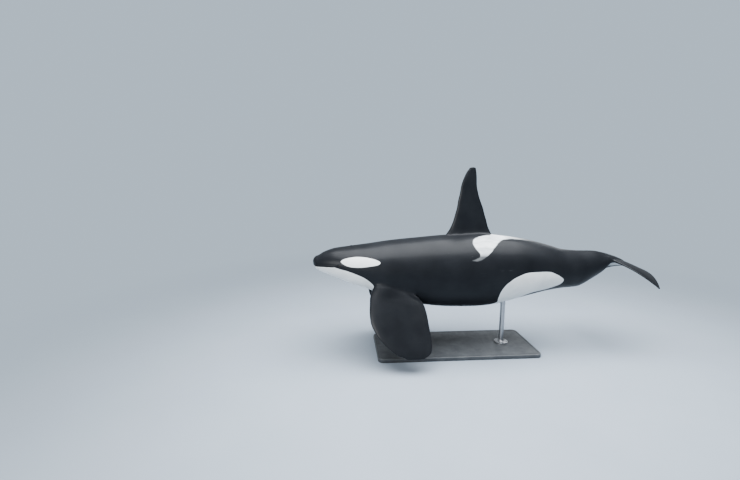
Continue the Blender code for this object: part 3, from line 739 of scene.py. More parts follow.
markings = {
    # outlines as (x, degrees round the body from the back), alike on both sides
    "eyePatch": (
        (0.505, 70.5), (0.517, 66.5), (0.545, 62.5), (0.592, 58.8), (0.651, 56), (0.790, 53.2),
        (0.929, 54.5), (1.066, 58), (1.160, 62), (1.190, 65), (1.178, 68.5), (1.120, 72),
        (0.993, 76.5), (0.856, 80.5), (0.717, 82.5), (0.630, 81.5), (0.570, 78.5), (0.530, 75),
    ),
    "underside": (
        (0.30, 200), (0.30, 96), (0.42, 94.5), (0.508, 96), (0.63, 97), (0.769, 101.5),
        (0.907, 107.5), (1.000, 115), (1.080, 123), (1.150, 129), (1.26, 137), (1.46, 149),
        (1.72, 161), (2.10, 168), (2.60, 169), (3.00, 167), (3.22, 162), (3.40, 158),
        (3.66, 158), (3.95, 162), (4.20, 166), (4.42, 173), (4.52, 182), (4.50, 200),
        (3.90, 204), (3.20, 204), (2.50, 204), (1.80, 204), (1.20, 204), (0.70, 202),
    ),
    "flank": (
        (3.16, 175), (3.27, 160), (3.355, 146), (3.338, 130), (3.352, 115), (3.422, 103.5),
        (3.50, 97.8), (3.585, 93), (3.675, 89.8), (3.767, 87.2), (3.864, 86), (4.064, 86.2),
        (4.27, 87.2), (4.385, 91.5), (4.484, 98), (4.59, 110.5), (4.555, 126), (4.466, 133.5),
        (4.376, 138), (4.285, 141), (4.182, 141), (4.083, 141), (3.987, 142), (3.90, 147),
        (3.83, 156), (3.70, 172),
    ),
    "saddle": (
        (3.40, -30), (3.36, -8), (3.275, 6), (3.188, 10), (3.089, 15), (2.992, 19.5),
        (2.930, 23), (2.880, 28.5), (2.857, 34.5), (2.864, 40), (2.890, 45.5), (2.928, 50.5),
        (2.953, 55.5), (2.935, 59.5), (2.870, 62), (2.800, 64), (2.878, 65.2), (2.966, 63.6),
        (3.042, 60), (3.108, 55.5), (3.172, 50), (3.228, 44), (3.286, 38), (3.340, 31),
        (3.436, 23.5), (3.563, 17.5), (3.732, 14), (3.891, 12.5), (4.047, 11.5), (4.207, 10),
        (4.34, 7), (4.44, 0), (4.44, -30),
    ),
    "fieldReach": 0.08,            # distances further than this from an edge are cut off
    "pointsAtOnce": 12000,         # keeps the memory small
    "grooveShadeGap": 0.006,               # the jaw's white ends this far under the mouth line (the black left in the groove is painted shade)
    "jawEnd": (0.36, 0.44),        # and gives way to the outline of the underside here
    "join": 0.05,                  # rounding where two patches meet
    "flipperPart": (0.9, 2.3),     # stretch of the body with the flipper roots
    "flipperWhite": 0.060,         # how far the throat's white runs onto them
    "flipperSoft": 0.015,
    "finGap": 0.03,                # how far the saddle runs up the fin
    "streakAndHighlightFade": (3.40, 4.35),    # the streak behind the saddle, partly a real wisp and partly a painted highlight along the top of the back, pales out between these places
    "streakAndHighlightPale": 0.88,
    "streakAndHighlightPower": 2.2,
    "hookFade": (54.0, 60.0),      # and the hook below it between these angles
    "hookPale": 0.80,
    "tailStart": 5.2,
    "flukeStrength": 0.62,
    "flukeEdge": 0.35,             # under 1 softens the edge of the flukes' grey
    "flukeMargin": 0.055,
    "flukeLeadMargin": 0.066,
    "flukeRootMargin": 0.05,
    "flukeTipShare": 0.80,
    "flukeRounding": 0.06,
    "flukeTipRounding": 0.09,
}


def girthRadius(x):
    _, up, down, wide, _, _ = bodyForm(np.clip(x, 0.02, None))
    return 0.25 * (up + down) + 0.5 * wide


def roundOutline(control, perSpan=8):
    # closed smooth outline through the control points, in metres along x and round the girth
    xs, turns = np.array(control, dtype=float).T
    loop = np.stack((xs, np.radians(turns) * girthRadius(xs)), axis=1)
    before, after, beyond = np.roll(loop, 1, 0), np.roll(loop, -1, 0), np.roll(loop, -2, 0)
    result = []
    for i in range(len(loop)):
        for t in np.arange(perSpan) / perSpan:
            a = 2.0 * loop[i] + (after[i] - before[i]) * t
            b = (2.0 * before[i] - 5.0 * loop[i] + 4.0 * after[i] - beyond[i]) * t * t
            c = (3.0 * loop[i] - before[i] - 3.0 * after[i] + beyond[i]) * t ** 3
            result.append(0.5 * (a + b + c))
    return np.array(result)


def patchField(flat, name):
    # signed distance of the flat points to an outline, positive inside, up to the fields' reach
    outline, limit = roundOutline(markings[name]), markings["fieldReach"]
    field = np.full(len(flat), -limit)
    low, high = outline.min(axis=0) - limit, outline.max(axis=0) + limit
    near = np.flatnonzero(((flat > low) & (flat < high)).all(axis=1))
    start, step = outline, np.roll(outline, -1, 0) - outline
    square = (step ** 2).sum(axis=1)
    for chunk in np.array_split(near, max(len(near) // markings["pointsAtOnce"], 1)):
        rel = flat[chunk][:, None, :] - start
        t = np.clip((rel * step).sum(axis=2) / square, 0.0, 1.0)
        gap = rel - t[:, :, None] * step
        distance = np.sqrt((gap ** 2).sum(axis=2).min(axis=1))
        above = flat[chunk][:, None, 1] >= start[:, 1]
        aboveNext = flat[chunk][:, None, 1] >= (start + step)[:, 1]
        rising = np.where(np.abs(step[:, 1]) < 1e-12, 1e-12, step[:, 1])
        crossing = start[:, 0] + (flat[chunk][:, None, 1] - start[:, 1]) / rising * step[:, 0]
        hits = ((above != aboveNext) & (flat[chunk][:, None, 0] < crossing)).sum(axis=1)
        distance = np.where(hits % 2 == 1, distance, -distance)
        field[chunk] = np.clip(distance, -limit, limit)
    return field


def softUnion(a, b, reach):
    share = np.clip(0.5 + 0.5 * (a - b) / reach, 0.0, 1.0)
    return b + (a - b) * share + reach * share * (1.0 - share)


def softMeet(a, b, reach):
    return -softUnion(-a, -b, reach)


def flukeField(points):
    # inside the dark margin of the underside of each lobe
    lead, trail = smoothCurve(flukes["leading"]), smoothCurve(flukes["trailing"])
    spans = np.linspace(0.0, flukes["tip"], 60)
    reaches, falls = np.array([flukeLine(s) for s in spans]).T
    span = np.interp(np.abs(points[:, 1]), reaches, spans)
    rel = points - flukeRoot
    rel[:, 2] += np.interp(span, spans, falls)
    chord, offset = rel @ flukeChordWay, rel @ flukeFace
    inset, rounding = chord - lead(span) - markings["flukeLeadMargin"], markings["flukeRounding"]
    inset = softMeet(inset, trail(span) - chord - markings["flukeMargin"], rounding)
    tipInset = markings["flukeTipShare"] * flukes["tip"] - span
    inset = softMeet(inset, tipInset, markings["flukeTipRounding"])
    inset = softMeet(inset, span - markings["flukeRootMargin"], rounding)
    return np.where(offset < 0.0, markings["flukeEdge"] * inset, -markings["fieldReach"])


def flipperGap(points):
    # distance outside the body: flipper points count as dark
    rise, reach, wide, pinch = sectionAt(points[:, 0], points[:, 2])
    ratio = np.sqrt((np.abs(points[:, 1]) / wide) ** (2.0 / pinch) + (rise / reach) ** 2)
    return markings["flipperWhite"] - (ratio - 1.0) * 0.5 * (wide + reach)


def markingFields(points):
    x, z, angle = points[:, 0], points[:, 2], girthAngle(points)
    flat = np.stack((x, np.radians(angle) * girthRadius(x)), axis=1)
    # the jaw's white stops short of the mouth line, so the mouth groove carries painted shade
    jaw, share = -mouthOffset(points) - markings["grooveShadeGap"], smoothStep(*markings["jawEnd"], x)
    white = jaw * (1.0 - share) + patchField(flat, "underside") * share
    white = softUnion(white, patchField(flat, "flank"), markings["join"])
    white = np.maximum(white, patchField(flat, "eyePatch"))

    # fins stay dark: nothing above the back, off the flippers' roots or on top of the flukes
    saddle = np.minimum(patchField(flat, "saddle"), markings["finGap"] - (z - backCurve(x)))
    start, end = markings["flipperPart"]
    gap = softMeet(white, flipperGap(points), markings["flipperSoft"])
    white = np.where((x > start) & (x < end), gap, white)
    # the saddle's streak along the back is partly a painted highlight; it pales out behind the fin
    strength = 1.0 - markings["streakAndHighlightPale"] * smoothStep(*markings["streakAndHighlightFade"], x)
    strength = strength ** markings["streakAndHighlightPower"]
    strength *= 1.0 - markings["hookPale"] * smoothStep(*markings["hookFade"], angle)

    # the flukes are smoky grey below, as the saddle is, and not plain white
    tail, limit = x > markings["tailStart"], markings["fieldReach"]
    white = np.where(tail, -limit, white)
    saddle = np.where(tail, flukeField(points), saddle)
    strength = np.where(tail, markings["flukeStrength"], strength)
    return np.clip(white, -limit, limit), np.clip(saddle, -limit, limit), strength


def addField(mesh, name, values):
    attribute = mesh.attributes.new(name, "FLOAT", "POINT")
    attribute.data.foreach_set("value", values.astype(np.float32))


print("laying out the markings")
whiteField, saddleField, saddleAndHighlightStrength = markingFields(bareSkin)
setPoints(skinMesh, bareSkin + bareNormals * heights[:, None] + whaleShift)
for fieldName, field in (("whiteField", whiteField), ("saddleField", saddleField),
                         ("saddleAndHighlightStrength", saddleAndHighlightStrength)):
    addField(skinMesh, fieldName, field)
skinMesh.shade_smooth()
skinPiece = bpy.data.objects.new("orcaSkin", skinMesh)
scene.collection.objects.link(skinPiece)


# Materials: a node's input is given a value, or another node's output to link

def feed(node, inputs):
    for key, value in inputs.items():
        socket = node.inputs[key]
        if isinstance(value, bpy.types.NodeSocket):
            node.id_data.links.new(value, socket)
        elif socket.type == "RGBA":
            socket.default_value = (*value, 1.0)
        else:
            socket.default_value = value


def addNode(nodes, kind, output, inputs=(), **settings):
    # gives back the node's output of that name or number
    node = nodes.new(kind)
    for key, value in settings.items():
        setattr(node, key, value)
    feed(node, dict(inputs))
    return node.outputs[output]


def mathNode(nodes, operation, *values, clamp=False):
    inputs = dict(enumerate(values))
    return addNode(nodes, "ShaderNodeMath", 0, inputs, operation=operation, use_clamp=clamp)


def mixColour(nodes, factor, first, second):
    inputs = {0: factor, 6: first, 7: second}
    return addNode(nodes, "ShaderNodeMix", 2, inputs, data_type="RGBA")


def softRamp(nodes, value, low, high):
    inputs = {"Value": value, "From Min": low, "From Max": high}
    return addNode(nodes, "ShaderNodeMapRange", "Result", inputs, interpolation_type="SMOOTHSTEP")


def fieldValue(nodes, name):
    return addNode(nodes, "ShaderNodeAttribute", "Fac", attribute_name=name)


def newMaterial(name):
    material = bpy.data.materials.new(name)
    material.use_nodes = True
    nodes = material.node_tree.nodes
    place = addNode(nodes, "ShaderNodeTexCoord", "Object")
    return material, nodes, nodes["Principled BSDF"], place


def groupTree(name, inputs, output):
    tree = bpy.data.node_groups.new(name, "ShaderNodeTree")
    tree.interface.new_socket("Vector", in_out="INPUT", socket_type="NodeSocketVector")
    for label in inputs:
        tree.interface.new_socket(label, in_out="INPUT", socket_type="NodeSocketFloat")
    tree.interface.new_socket(output, in_out="OUTPUT", socket_type="NodeSocketFloat")
    source, sink = tree.nodes.new("NodeGroupInput"), tree.nodes.new("NodeGroupOutput")
    return tree, source.outputs, sink


def buildMottle():
    # soft uneven value between Low and High
    tree, source, sink = groupTree("mottle", ("Scale", "Low", "High"), "Value")
    noise = addNode(tree.nodes, "ShaderNodeTexNoise", "Fac", {
        "Vector": source["Vector"], "Scale": source["Scale"], "Detail": 4.0, "Roughness": 0.55})
    feed(sink, {"Value": addNode(tree.nodes, "ShaderNodeMapRange", "Result", {
        "Value": noise, "From Min": 0.30, "From Max": 0.70,
        "To Min": source["Low"], "To Max": source["High"]})})
    return tree


grainLabels = ("Fine Scale", "Coarse Scale", "Coarse Share")


def buildGrain():
    # fine surface height from two sizes of noise
    tree, source, sink = groupTree("grain", grainLabels, "Height")
    fine, coarse = [
        addNode(tree.nodes, "ShaderNodeTexNoise", "Fac", {
            "Vector": source["Vector"], "Scale": source[label], "Detail": octaves})
        for label, octaves in zip(grainLabels, (3.0, 2.0))
    ]
    scaled = mathNode(tree.nodes, "MULTIPLY", coarse, source["Coarse Share"])
    feed(sink, {"Height": mathNode(tree.nodes, "ADD", fine, scaled)})
    return tree


mottleTree = buildMottle()
grainTree = buildGrain()


def placeGroup(nodes, tree, place, labels, values):
    inputs = {"Vector": place, **dict(zip(labels, values))}
    return addNode(nodes, "ShaderNodeGroup", 0, inputs, node_tree=tree)


def mottled(nodes, place, values):
    return placeGroup(nodes, mottleTree, place, ("Scale", "Low", "High"), values)


def cloudy(nodes, place, finish, name):
    # a finish's colour with soft clouds of its shade
    clouds = mottled(nodes, place, finish[name + "Clouds"])
    return mixColour(nodes, clouds, finish[name], finish[name + "Shade"])


def grainNormal(nodes, place, values, strength, depth):
    height = placeGroup(nodes, grainTree, place, grainLabels, values)
    inputs = {"Height": height, "Strength": strength, "Distance": depth}
    return addNode(nodes, "ShaderNodeBump", "Normal", inputs)


skinFinish = {
    # clouds and gloss as scale, low and high; edges as scale, wander and softness
    "black": (0.0095, 0.0110, 0.0140),
    "blackShade": (0.0230, 0.0255, 0.0300),
    "blackClouds": (2.2, 0.0, 0.55),
    "white": (0.800, 0.815, 0.810),
    "whiteShade": (0.660, 0.685, 0.690),
    "whiteClouds": (5.0, 0.0, 0.7),
    # the saddle is its own pale grey, raised towards white as painted top light
    "saddle": (0.730, 0.750, 0.760),
    "saddleShade": (0.400, 0.425, 0.450),
    "saddleClouds": (4.5, 0.0, 0.9),
    "saddleStreak": (1.0, 3.2, 3.2),
    "whiteEdge": (6.0, 0.007, 0.0030),
    "saddleEdge": (8.0, 0.030, 0.011),
    "scratch": (0.075, 0.082, 0.092),
    "scratchLies": ((8.0, 2.3), (-14.0, 3.1)),    # turn and scale of each set
    "scratchStretch": (0.05, 2.8, 2.8),
    "scratchWidth": 0.0026,
    "scratchStrength": 0.50,
    "scratchPatches": (1.7, -1.6, 1.0),
    "gloss": (3.5, 0.34, 0.48),
    "specular": 0.18,
    "coat": 0.08,
    "coatRoughness": 0.18,
    "grain": (210.0, 38.0, 2.0),                  # fine and coarse scale, share of the coarse
    "grainStrength": 0.22,
    "grainDepth": 0.0012,
}


def fieldMask(nodes, place, name, edge):
    # 1 inside the marking, with an edge that wanders a little
    scale, wander, softness = edge
    noise = addNode(nodes, "ShaderNodeTexNoise", "Fac", {
        "Vector": place, "Scale": scale, "Detail": 2.0, "Roughness": 0.5})
    shifted = mathNode(nodes, "MULTIPLY_ADD", noise, wander, -0.5 * wander)
    total = mathNode(nodes, "ADD", fieldValue(nodes, name), shifted)
    return softRamp(nodes, total, -softness, softness)


def scratchMask(nodes, place, turn, scale):
    # sparse, faint, fine lines along the body, as old rake marks leave
    lie = addNode(nodes, "ShaderNodeMapping", "Vector", {
        "Vector": place, "Rotation": (math.radians(0.5 * turn), math.radians(turn), 0.0),
        "Scale": skinFinish["scratchStretch"]})
    wave = addNode(nodes, "ShaderNodeTexNoise", "Fac", {
        "Vector": lie, "Scale": scale, "Detail": 0.0})
    gap = mathNode(nodes, "ABSOLUTE", mathNode(nodes, "SUBTRACT", wave, 0.5))
    line = addNode(nodes, "ShaderNodeMapRange", "Result", {
        "Value": gap, "From Min": 0.0, "From Max": skinFinish["scratchWidth"],
        "To Min": skinFinish["scratchStrength"], "To Max": 0.0})
    size, low, high = skinFinish["scratchPatches"]
    patches = mottled(nodes, place, (size * scale, low, high))
    return mathNode(nodes, "MULTIPLY", line, patches, clamp=True)


def makeSkinMaterial():
    material, nodes, shader, place = newMaterial("orcaSkinWet")
    finish = skinFinish
    blackSkin = cloudy(nodes, place, finish, "black")
    for turn, scale in finish["scratchLies"]:
        lines = scratchMask(nodes, place, turn, scale)
        blackSkin = mixColour(nodes, lines, blackSkin, finish["scratch"])
    whiteSkin = cloudy(nodes, place, finish, "white")
    streak = addNode(nodes, "ShaderNodeMapping", "Vector", {
        "Vector": place, "Scale": finish["saddleStreak"]})
    # the saddle's colour carries painted top light as well as its own grey
    saddleSkinAndTopLight = cloudy(nodes, streak, finish, "saddle")

    whiteMask = fieldMask(nodes, place, "whiteField", finish["whiteEdge"])
    saddleMask = fieldMask(nodes, place, "saddleField", finish["saddleEdge"])
    # the strength also carries the painted highlight of the streak along the back
    saddleShare = mathNode(nodes, "MULTIPLY", saddleMask, fieldValue(nodes, "saddleAndHighlightStrength"))
    colour = mixColour(nodes, saddleShare, blackSkin, saddleSkinAndTopLight)
    feed(shader, {
        "Base Color": mixColour(nodes, whiteMask, colour, whiteSkin),
        "Roughness": mottled(nodes, place, finish["gloss"]),
        "Specular IOR Level": finish["specular"],
        "Coat Weight": finish["coat"],
        "Coat Roughness": finish["coatRoughness"],
        "Normal": grainNormal(
            nodes, place, finish["grain"], finish["grainStrength"], finish["grainDepth"]),
    })
    return material


skinPiece.data.materials.append(makeSkinMaterial())
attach(skinPiece, "root")
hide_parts("head", "lower_jaw", "chest", "torso", "tail_stock", "fluke_left",
            "fluke_right", "dorsal_fin", "flipper_left", "flipper_right")


# Eyes

eyeball = {
    "rings": 64,
    "segments": 96,
    "poleGap": 0.03,
    "corneaRadius": 0.0125,
    "corneaRise": 0.0016,
    "iris": (0.030, 0.014, 0.007),
    "irisShade": (0.008, 0.005, 0.004),
    "irisClouds": (420.0, 0.0, 0.8),
    "irisEdge": (0.01035, 0.01242),      # it ends between these radii
    "pupil": (0.001, 0.001, 0.0015),
    "pupilEdge": (0.004576, 0.00572),
    "pupilStretch": (0.78, 1.25),        # along the eye and up it
    "sclera": (0.045, 0.032, 0.028),
    "gloss": (160.0, 0.05, 0.12),
    "coat": 0.6,
    "coatRoughness": 0.03,
}


def makeEyeMaterial():
    material, nodes, shader, place = newMaterial("eyeWet")
    reach = fieldValue(nodes, "gazeReach")
    rim, hole = [softRamp(nodes, reach, *eyeball[key]) for key in ("irisEdge", "pupilEdge")]
    outer = mixColour(nodes, rim, cloudy(nodes, place, eyeball, "iris"), eyeball["sclera"])
    feed(shader, {
        "Base Color": mixColour(nodes, hole, eyeball["pupil"], outer),
        "Roughness": mottled(nodes, place, eyeball["gloss"]),
        "Coat Weight": eyeball["coat"],
        "Coat Roughness": eyeball["coatRoughness"],
    })
    return material


def finishPiece(name, mesh, material, node, sharpAngle=None):
    mesh.shade_smooth()
    if sharpAngle:
        mesh.set_sharp_from_angle(angle=math.radians(sharpAngle))
    mesh.materials.append(material)
    piece = bpy.data.objects.new(name, mesh)
    scene.collection.objects.link(piece)
    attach(piece, "root")
    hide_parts(node)


def makeEyeball(name, node, sign, material):
    centre, normal, along, upward = eyeFrame(sign)
    centre = centre - normal * (eye["radius"] - eye["proud"])
    gap = eyeball["poleGap"]
    polar = np.linspace(gap, math.pi - gap, eyeball["rings"])[:, None]
    turn = sign * np.linspace(0.0, 2.0 * math.pi, eyeball["segments"], endpoint=False)[None, :]
    across = eye["radius"] * np.sin(polar)
    ahead = (polar < 0.5 * math.pi).astype(float)
    rise = eyeball["corneaRise"] * np.exp(-(across / eyeball["corneaRadius"]) ** 4) * ahead
    height = eye["radius"] * np.cos(polar) + rise
    flat = across[..., None] * (np.cos(turn)[..., None] * along + np.sin(turn)[..., None] * upward)
    verts, faces = loftShell(centre + flat + height[..., None] * normal)
    mesh = meshFromShell(name, verts + whaleShift, faces)
    rel = verts - centre
    wide, tall = eyeball["pupilStretch"]
    stretch = np.hypot(rel @ along * wide, rel @ upward * tall)
    addField(mesh, "gazeReach", np.where(rel @ normal > 0.0, stretch, eye["radius"]))
    finishPiece(name, mesh, material, node)


print("setting the eyes")
eyeMaterial = makeEyeMaterial()
makeEyeball("eyeballLeft", "eye_left", -1.0, eyeMaterial)
makeEyeball("eyeballRight", "eye_right", 1.0, eyeMaterial)


# Stand: painted board, two steel rods with bolted feet

stand = {
    "length": 3.00,
    "width": 1.20,
    "height": 0.07,
    "corner": 0.10,
    "cornerLeast": 0.02,
    "cornerSteps": 16,
    "bevel": 0.012,
    # ring places in from the edge and up from the floor
    "underEdge": ((0.004, 0.0), (0.0015, 0.0006), (0.0, 0.003)),
    "grooveInset": 0.045,
    "grooveWidth": 0.008,
    "grooveDepth": 0.005,
    "grooveLip": 0.0006,
    "middleInset": 0.30,
    "rodRadius": 0.045,
    "rodSides": 64,
    "rodPlaces": {"front": 1.70, "rear": 3.60},
    "rodInside": 0.012,       # how far a rod runs into the belly
    "collarDrop": 0.055,
    # out from the rod and up from the collar's place
    "collar": ((0.0, -0.030), (0.004, -0.027), (0.0045, -0.005), (0.0045, 0.0), (0.0, 0.003)),
    "footGap": 0.0003,
    "footRadius": 0.13,
    "footHeight": 0.022,
    "footEdge": 0.003,
    "footFillet": 0.03,
    "boardSharp": 40.0,       # edges over this many degrees stay crisp
    "rodSharp": 32.0,
    "boltCircle": 0.105,
    "boltRadius": 0.011,
    "boltHeight": 0.008,
    "boltCount": 6,
    "boltSides": 36,
    # radius in bolts and height of the washer's rings, and of the six-sided head's below its top
    "washer": ((1.45, -0.001), (1.45, 0.0016), (1.0, 0.0018)),
    "boltHead": ((1.0, -0.0061), (1.0, -0.0018), (0.90, 0.0)),
    # clouds and gloss as scale, low and high; grain as fine and coarse scale, share of the coarse
    "paint": (0.060, 0.066, 0.073),
    "paintShade": (0.105, 0.112, 0.120),
    "paintClouds": (6.0, 0.0, 0.8),
    "paintRim": (0.20, 0.21, 0.22),
    "rimWear": 0.5,
    "paintGloss": (9.0, 0.42, 0.58),
    "paintGrain": (340.0, 60.0, 1.2),
    "paintGrainStrength": 0.18,
    "paintGrainDepth": 0.0008,
    "steel": (0.50, 0.51, 0.53),
    "steelShade": (0.36, 0.37, 0.39),
    "steelClouds": (12.0, 0.0, 1.0),
    "steelBrush": (1.0, 1.0, 60.0),
    "steelGloss": (8.0, 0.26, 0.40),
    "steelGrain": (30.0, 6.0, 0.6),
    "steelGrainStrength": 0.10,
    "steelGrainDepth": 0.0004,
}
floorZ = -whaleShift[2]


def standSurface(nodes, shader, place, name, colour, metallic):
    feed(shader, {
        "Base Color": colour,
        "Metallic": metallic,
        "Roughness": mottled(nodes, place, stand[name + "Gloss"]),
        "Normal": grainNormal(nodes, place, stand[name + "Grain"],
                              stand[name + "GrainStrength"], stand[name + "GrainDepth"]),
    })


def makeBasePaint():
    material, nodes, shader, place = newMaterial("boardPaint")
    colour = cloudy(nodes, place, stand, "paint")
    colour = mixColour(nodes, fieldValue(nodes, "rimWear"), colour, stand["paintRim"])
    standSurface(nodes, shader, place, "paint", colour, 0.0)
    return material


def makeRodSteel():
    material, nodes, shader, place = newMaterial("rodSteel")
    brush = addNode(nodes, "ShaderNodeMapping", "Vector", {
        "Vector": place, "Scale": stand["steelBrush"]})
    standSurface(nodes, shader, brush, "steel", cloudy(nodes, brush, stand, "steel"), 1.0)
    return material


def quarter(steps):
    # cosine and sine of even turns from 0 to 90 degrees
    turns = [0.5 * math.pi * i / steps for i in range(steps + 1)]
    return [(math.cos(turn), math.sin(turn)) for turn in turns]


def boardOutline(inset):
    ring = []
    radius = max(stand["corner"] - inset, stand["cornerLeast"])
    for sx, sy, start in ((1, 1, 0), (-1, 1, 90), (-1, -1, 180), (1, -1, 270)):
        cx = body["standX"] + sx * (0.5 * stand["length"] - inset - radius)
        cy = sy * (0.5 * stand["width"] - inset - radius)
        for i in range(stand["cornerSteps"] + 1):
            angle = math.radians(start + 90.0 * i / stand["cornerSteps"])
            ring.append((cx + radius * math.cos(angle), cy + radius * math.sin(angle)))
    return ring


def makeBoard():
    # rings from the underside up over the rounded rim, then in across a routed line
    top, bevel, lip = stand["height"], stand["bevel"], stand["grooveLip"]
    inset, groove, deep = stand["grooveInset"], stand["grooveWidth"], stand["grooveDepth"]
    profile = [*stand["underEdge"]]
    profile += [(bevel * (1.0 - c), top - bevel + bevel * s) for c, s in quarter(6)]
    profile += [
        (inset - groove, top), (inset - 0.7 * groove, top - lip),
        (inset - 0.5 * groove, top - deep), (inset + 0.5 * groove, top - deep),
        (inset + 0.7 * groove, top - lip), (inset + groove, top), (stand["middleInset"], top),
    ]
    rings = np.array([[(x, y, floorZ + z) for x, y in boardOutline(i)] for i, z in profile])
    verts, faces = loftShell(rings)
    mesh = meshFromShell("standBoard", verts + whaleShift, faces)
    wear = np.zeros(len(verts))
    sides = rings.shape[1]
    wear[6 * sides:8 * sides] = stand["rimWear"]    # the middle of the rounded rim
    addField(mesh, "rimWear", wear)
    paint, crisp = makeBasePaint(), stand["boardSharp"]
    finishPiece("standBoard", mesh, paint, "stand_base", crisp)


def bellyHeight(x, y):
    middle, _, down, wide, _, chin = bodyForm(x)
    side = min(abs(y) / wide, 1.0) ** (1.0 / chin)
    return middle - down * math.sqrt(1.0 - side * side)


def levelRing(x, y, radius, z, turns):
    # the radius may differ from point to point
    xs, ys = x + radius * np.cos(turns), y + radius * np.sin(turns)
    return np.stack((xs, ys, np.full(len(turns), z)), axis=1)


def boltShell(x, y, z, turn):
    # washer and chamfered six-sided head
    turns = np.linspace(0.0, 2.0 * math.pi, stand["boltSides"], endpoint=False)
    wide, half = stand["boltRadius"], math.pi / 6.0
    rings = [levelRing(x, y, r * wide, z + rise, turns) for r, rise in stand["washer"]]
    sixSided = wide * math.cos(half) / np.cos((turns - turn + half) % (2.0 * half) - half)
    for scale, rise in stand["boltHead"]:
        rings.append(levelRing(x, y, scale * sixSided, z + stand["boltHeight"] + rise, turns))
    return loftShell(np.array(rings))


def makeRod(name, node, x, material):
    # rounded foot, fillet, rod and collar, then the bolts round the foot
    foot = floorZ + stand["height"] + stand["footGap"]
    top = foot + stand["footHeight"]
    radius, disc, edge, fillet = [
        stand[key] for key in ("rodRadius", "footRadius", "footEdge", "footFillet")
    ]
    profile = [(disc - 0.5 * edge, foot), (disc, foot + 0.5 * edge)]
    profile += [(disc - edge * (1.0 - c), top - edge + edge * s) for c, s in quarter(3)]
    profile += [(radius + fillet * (1.0 - s), top + fillet * (1.0 - c)) for c, s in quarter(8)]
    collar = float(bellyCurve(x)) - stand["collarDrop"]
    profile += [(radius + out, collar + up) for out, up in stand["collar"]]
    turns = np.linspace(0.0, 2.0 * math.pi, stand["rodSides"], endpoint=False)
    rings = [levelRing(x, 0.0, r, z, turns) for r, z in profile]
    last = levelRing(x, 0.0, radius, stand["rodInside"], turns)
    last[:, 2] += [bellyHeight(px, py) for px, py in last[:, :2]]
    shells = [loftShell(np.array(rings + [last]))]
    for i in range(stand["boltCount"]):
        turn = 2.0 * math.pi * (i + 0.5) / stand["boltCount"]
        out = stand["boltCircle"]
        shells.append(boltShell(x + out * math.cos(turn), out * math.sin(turn), top, turn))
    verts, faces = joinShells(shells)
    mesh = meshFromShell(name, verts + whaleShift, faces)
    finishPiece(name, mesh, material, node, stand["rodSharp"])


print("building the stand")
makeBoard()
steel = makeRodSteel()
for placeName, rodX in stand["rodPlaces"].items():
    makeRod("standRod" + placeName.capitalize(), "stand_rod_" + placeName, rodX, steel)


# Studio: pale floor, soft lights and the camera at the photo's angle

studio = {
    "floorRadii": (0.5, 2.0, 5.0, 9.0, 16.0, 30.0, 60.0),
    "floorSides": 96,
    "floorZ": -0.001,
    "floor": (0.36, 0.41, 0.47),
    "floorShade": (0.34, 0.39, 0.45),
    "floorClouds": (0.7, 0.0, 1.0),
    "floorRoughness": 0.7,
    "floorSpecular": 0.2,
    "floorFade": (3.0, 11.0),     # it fades into the horizon between these distances
    "horizon": (0.44, 0.52, 0.60),
    "horizonStrength": 0.95,      # seen by the camera, behind the floor
    "ambient": (0.72, 0.76, 0.80),
    "ambientStrength": 0.40,
    # place, target, size, energy and colour
    "lights": {
        "topLight": ((0.0, -1.0, 8.5), (0.0, 0.2, 1.2), (12.0, 8.0), 2100.0, (0.96, 0.98, 1.0)),
        "sideLight": ((-6.5, -7.5, 4.0), (-0.5, 0.0, 1.4), (4.0, 3.0), 380.0, (1.0, 0.99, 0.97)),
        "rimLight": ((5.5, 6.5, 5.0), (0.5, 0.0, 1.6), (5.0, 3.0), 70.0, (0.95, 0.98, 1.0)),
    },
    "cameraPlace": (0.539, -7.187, 1.800),    # in the whale's own axes
    "cameraYaw": 4.0,
    "cameraPitch": 9.5,
    "lens": 19.459,
    "sensor": 36.0,
    "clipEnd": 200.0,
    "look": "AgX - Medium High Contrast",
    "exposure": 0.15,
}


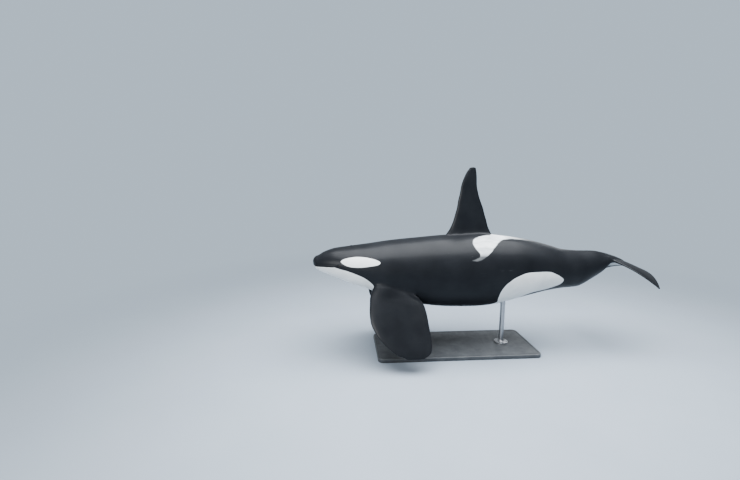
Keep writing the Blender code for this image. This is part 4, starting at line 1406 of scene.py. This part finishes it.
def makeFloor():
    count, rows = studio["floorSides"], len(studio["floorRadii"])
    turns = np.linspace(0.0, 2.0 * math.pi, count, endpoint=False)
    verts = np.concatenate(
        [levelRing(0.0, 0.0, radius, studio["floorZ"], turns) for radius in studio["floorRadii"]])
    faces = [tuple(range(count))]
    for k in range(count * (rows - 1)):
        n = k + 1 if (k + 1) % count else k + 1 - count
        faces.append((k, k + count, n + count, n))
    mesh = meshFromShell("studioFloor", verts, faces)
    material, nodes, shader, place = newMaterial("studioPale")
    feed(shader, {
        "Base Color": cloudy(nodes, place, studio, "floor"),
        "Roughness": studio["floorRoughness"],
        "Specular IOR Level": studio["floorSpecular"],
    })
    length = addNode(nodes, "ShaderNodeVectorMath", "Value", {0: place}, operation="LENGTH")
    glow = addNode(nodes, "ShaderNodeEmission", 0, {
        "Color": studio["horizon"], "Strength": studio["horizonStrength"]})
    blend = addNode(nodes, "ShaderNodeMixShader", 0, {
        0: softRamp(nodes, length, *studio["floorFade"]), 1: shader.outputs[0], 2: glow})
    feed(nodes["Material Output"], {"Surface": blend})
    mesh.materials.append(material)
    floor = bpy.data.objects.new("studioFloor", mesh)
    scene.collection.objects.link(floor)


def areaLight(name, place, target, size, energy, colour):
    light = bpy.data.lights.new(name, "AREA")
    light.shape = "RECTANGLE"
    light.size, light.size_y = size
    light.energy = energy
    light.color = colour
    obj = bpy.data.objects.new(name, light)
    obj.location = place
    obj.rotation_euler = (Vector(target) - Vector(place)).to_track_quat("-Z", "Y").to_euler()
    scene.collection.objects.link(obj)


def makeWorld():
    # pale to the camera, and dimmer as a light, so that dark skin stays dark
    world = bpy.data.worlds.new("studioWorld")
    world.use_nodes = True
    nodes = world.node_tree.nodes
    ambient = nodes["Background"]
    feed(ambient, {"Color": studio["ambient"], "Strength": studio["ambientStrength"]})
    behind = addNode(nodes, "ShaderNodeBackground", 0, {
        "Color": studio["horizon"], "Strength": studio["horizonStrength"]})
    seen = addNode(nodes, "ShaderNodeLightPath", "Is Camera Ray")
    blend = addNode(nodes, "ShaderNodeMixShader", 0, {0: seen, 1: ambient.outputs[0], 2: behind})
    feed(nodes["World Output"], {"Surface": blend})
    scene.world = world


print("lighting the studio")
makeFloor()
makeWorld()
for lightName, lightValues in studio["lights"].items():
    areaLight(lightName, *lightValues)
scene.view_settings.look = studio["look"]
scene.view_settings.exposure = studio["exposure"]

cameraData = bpy.data.cameras.new("photoCamera")
cameraData.sensor_width = studio["sensor"]
cameraData.lens = studio["lens"]
cameraData.clip_end = studio["clipEnd"]
camera = bpy.data.objects.new("photoCamera", cameraData)
camera.location = Vector(studio["cameraPlace"]) + Vector(whaleShift)
camera.rotation_euler = (
    math.radians(90.0 - studio["cameraPitch"]), 0.0, math.radians(-studio["cameraYaw"]))
scene.collection.objects.link(camera)
scene.camera = camera
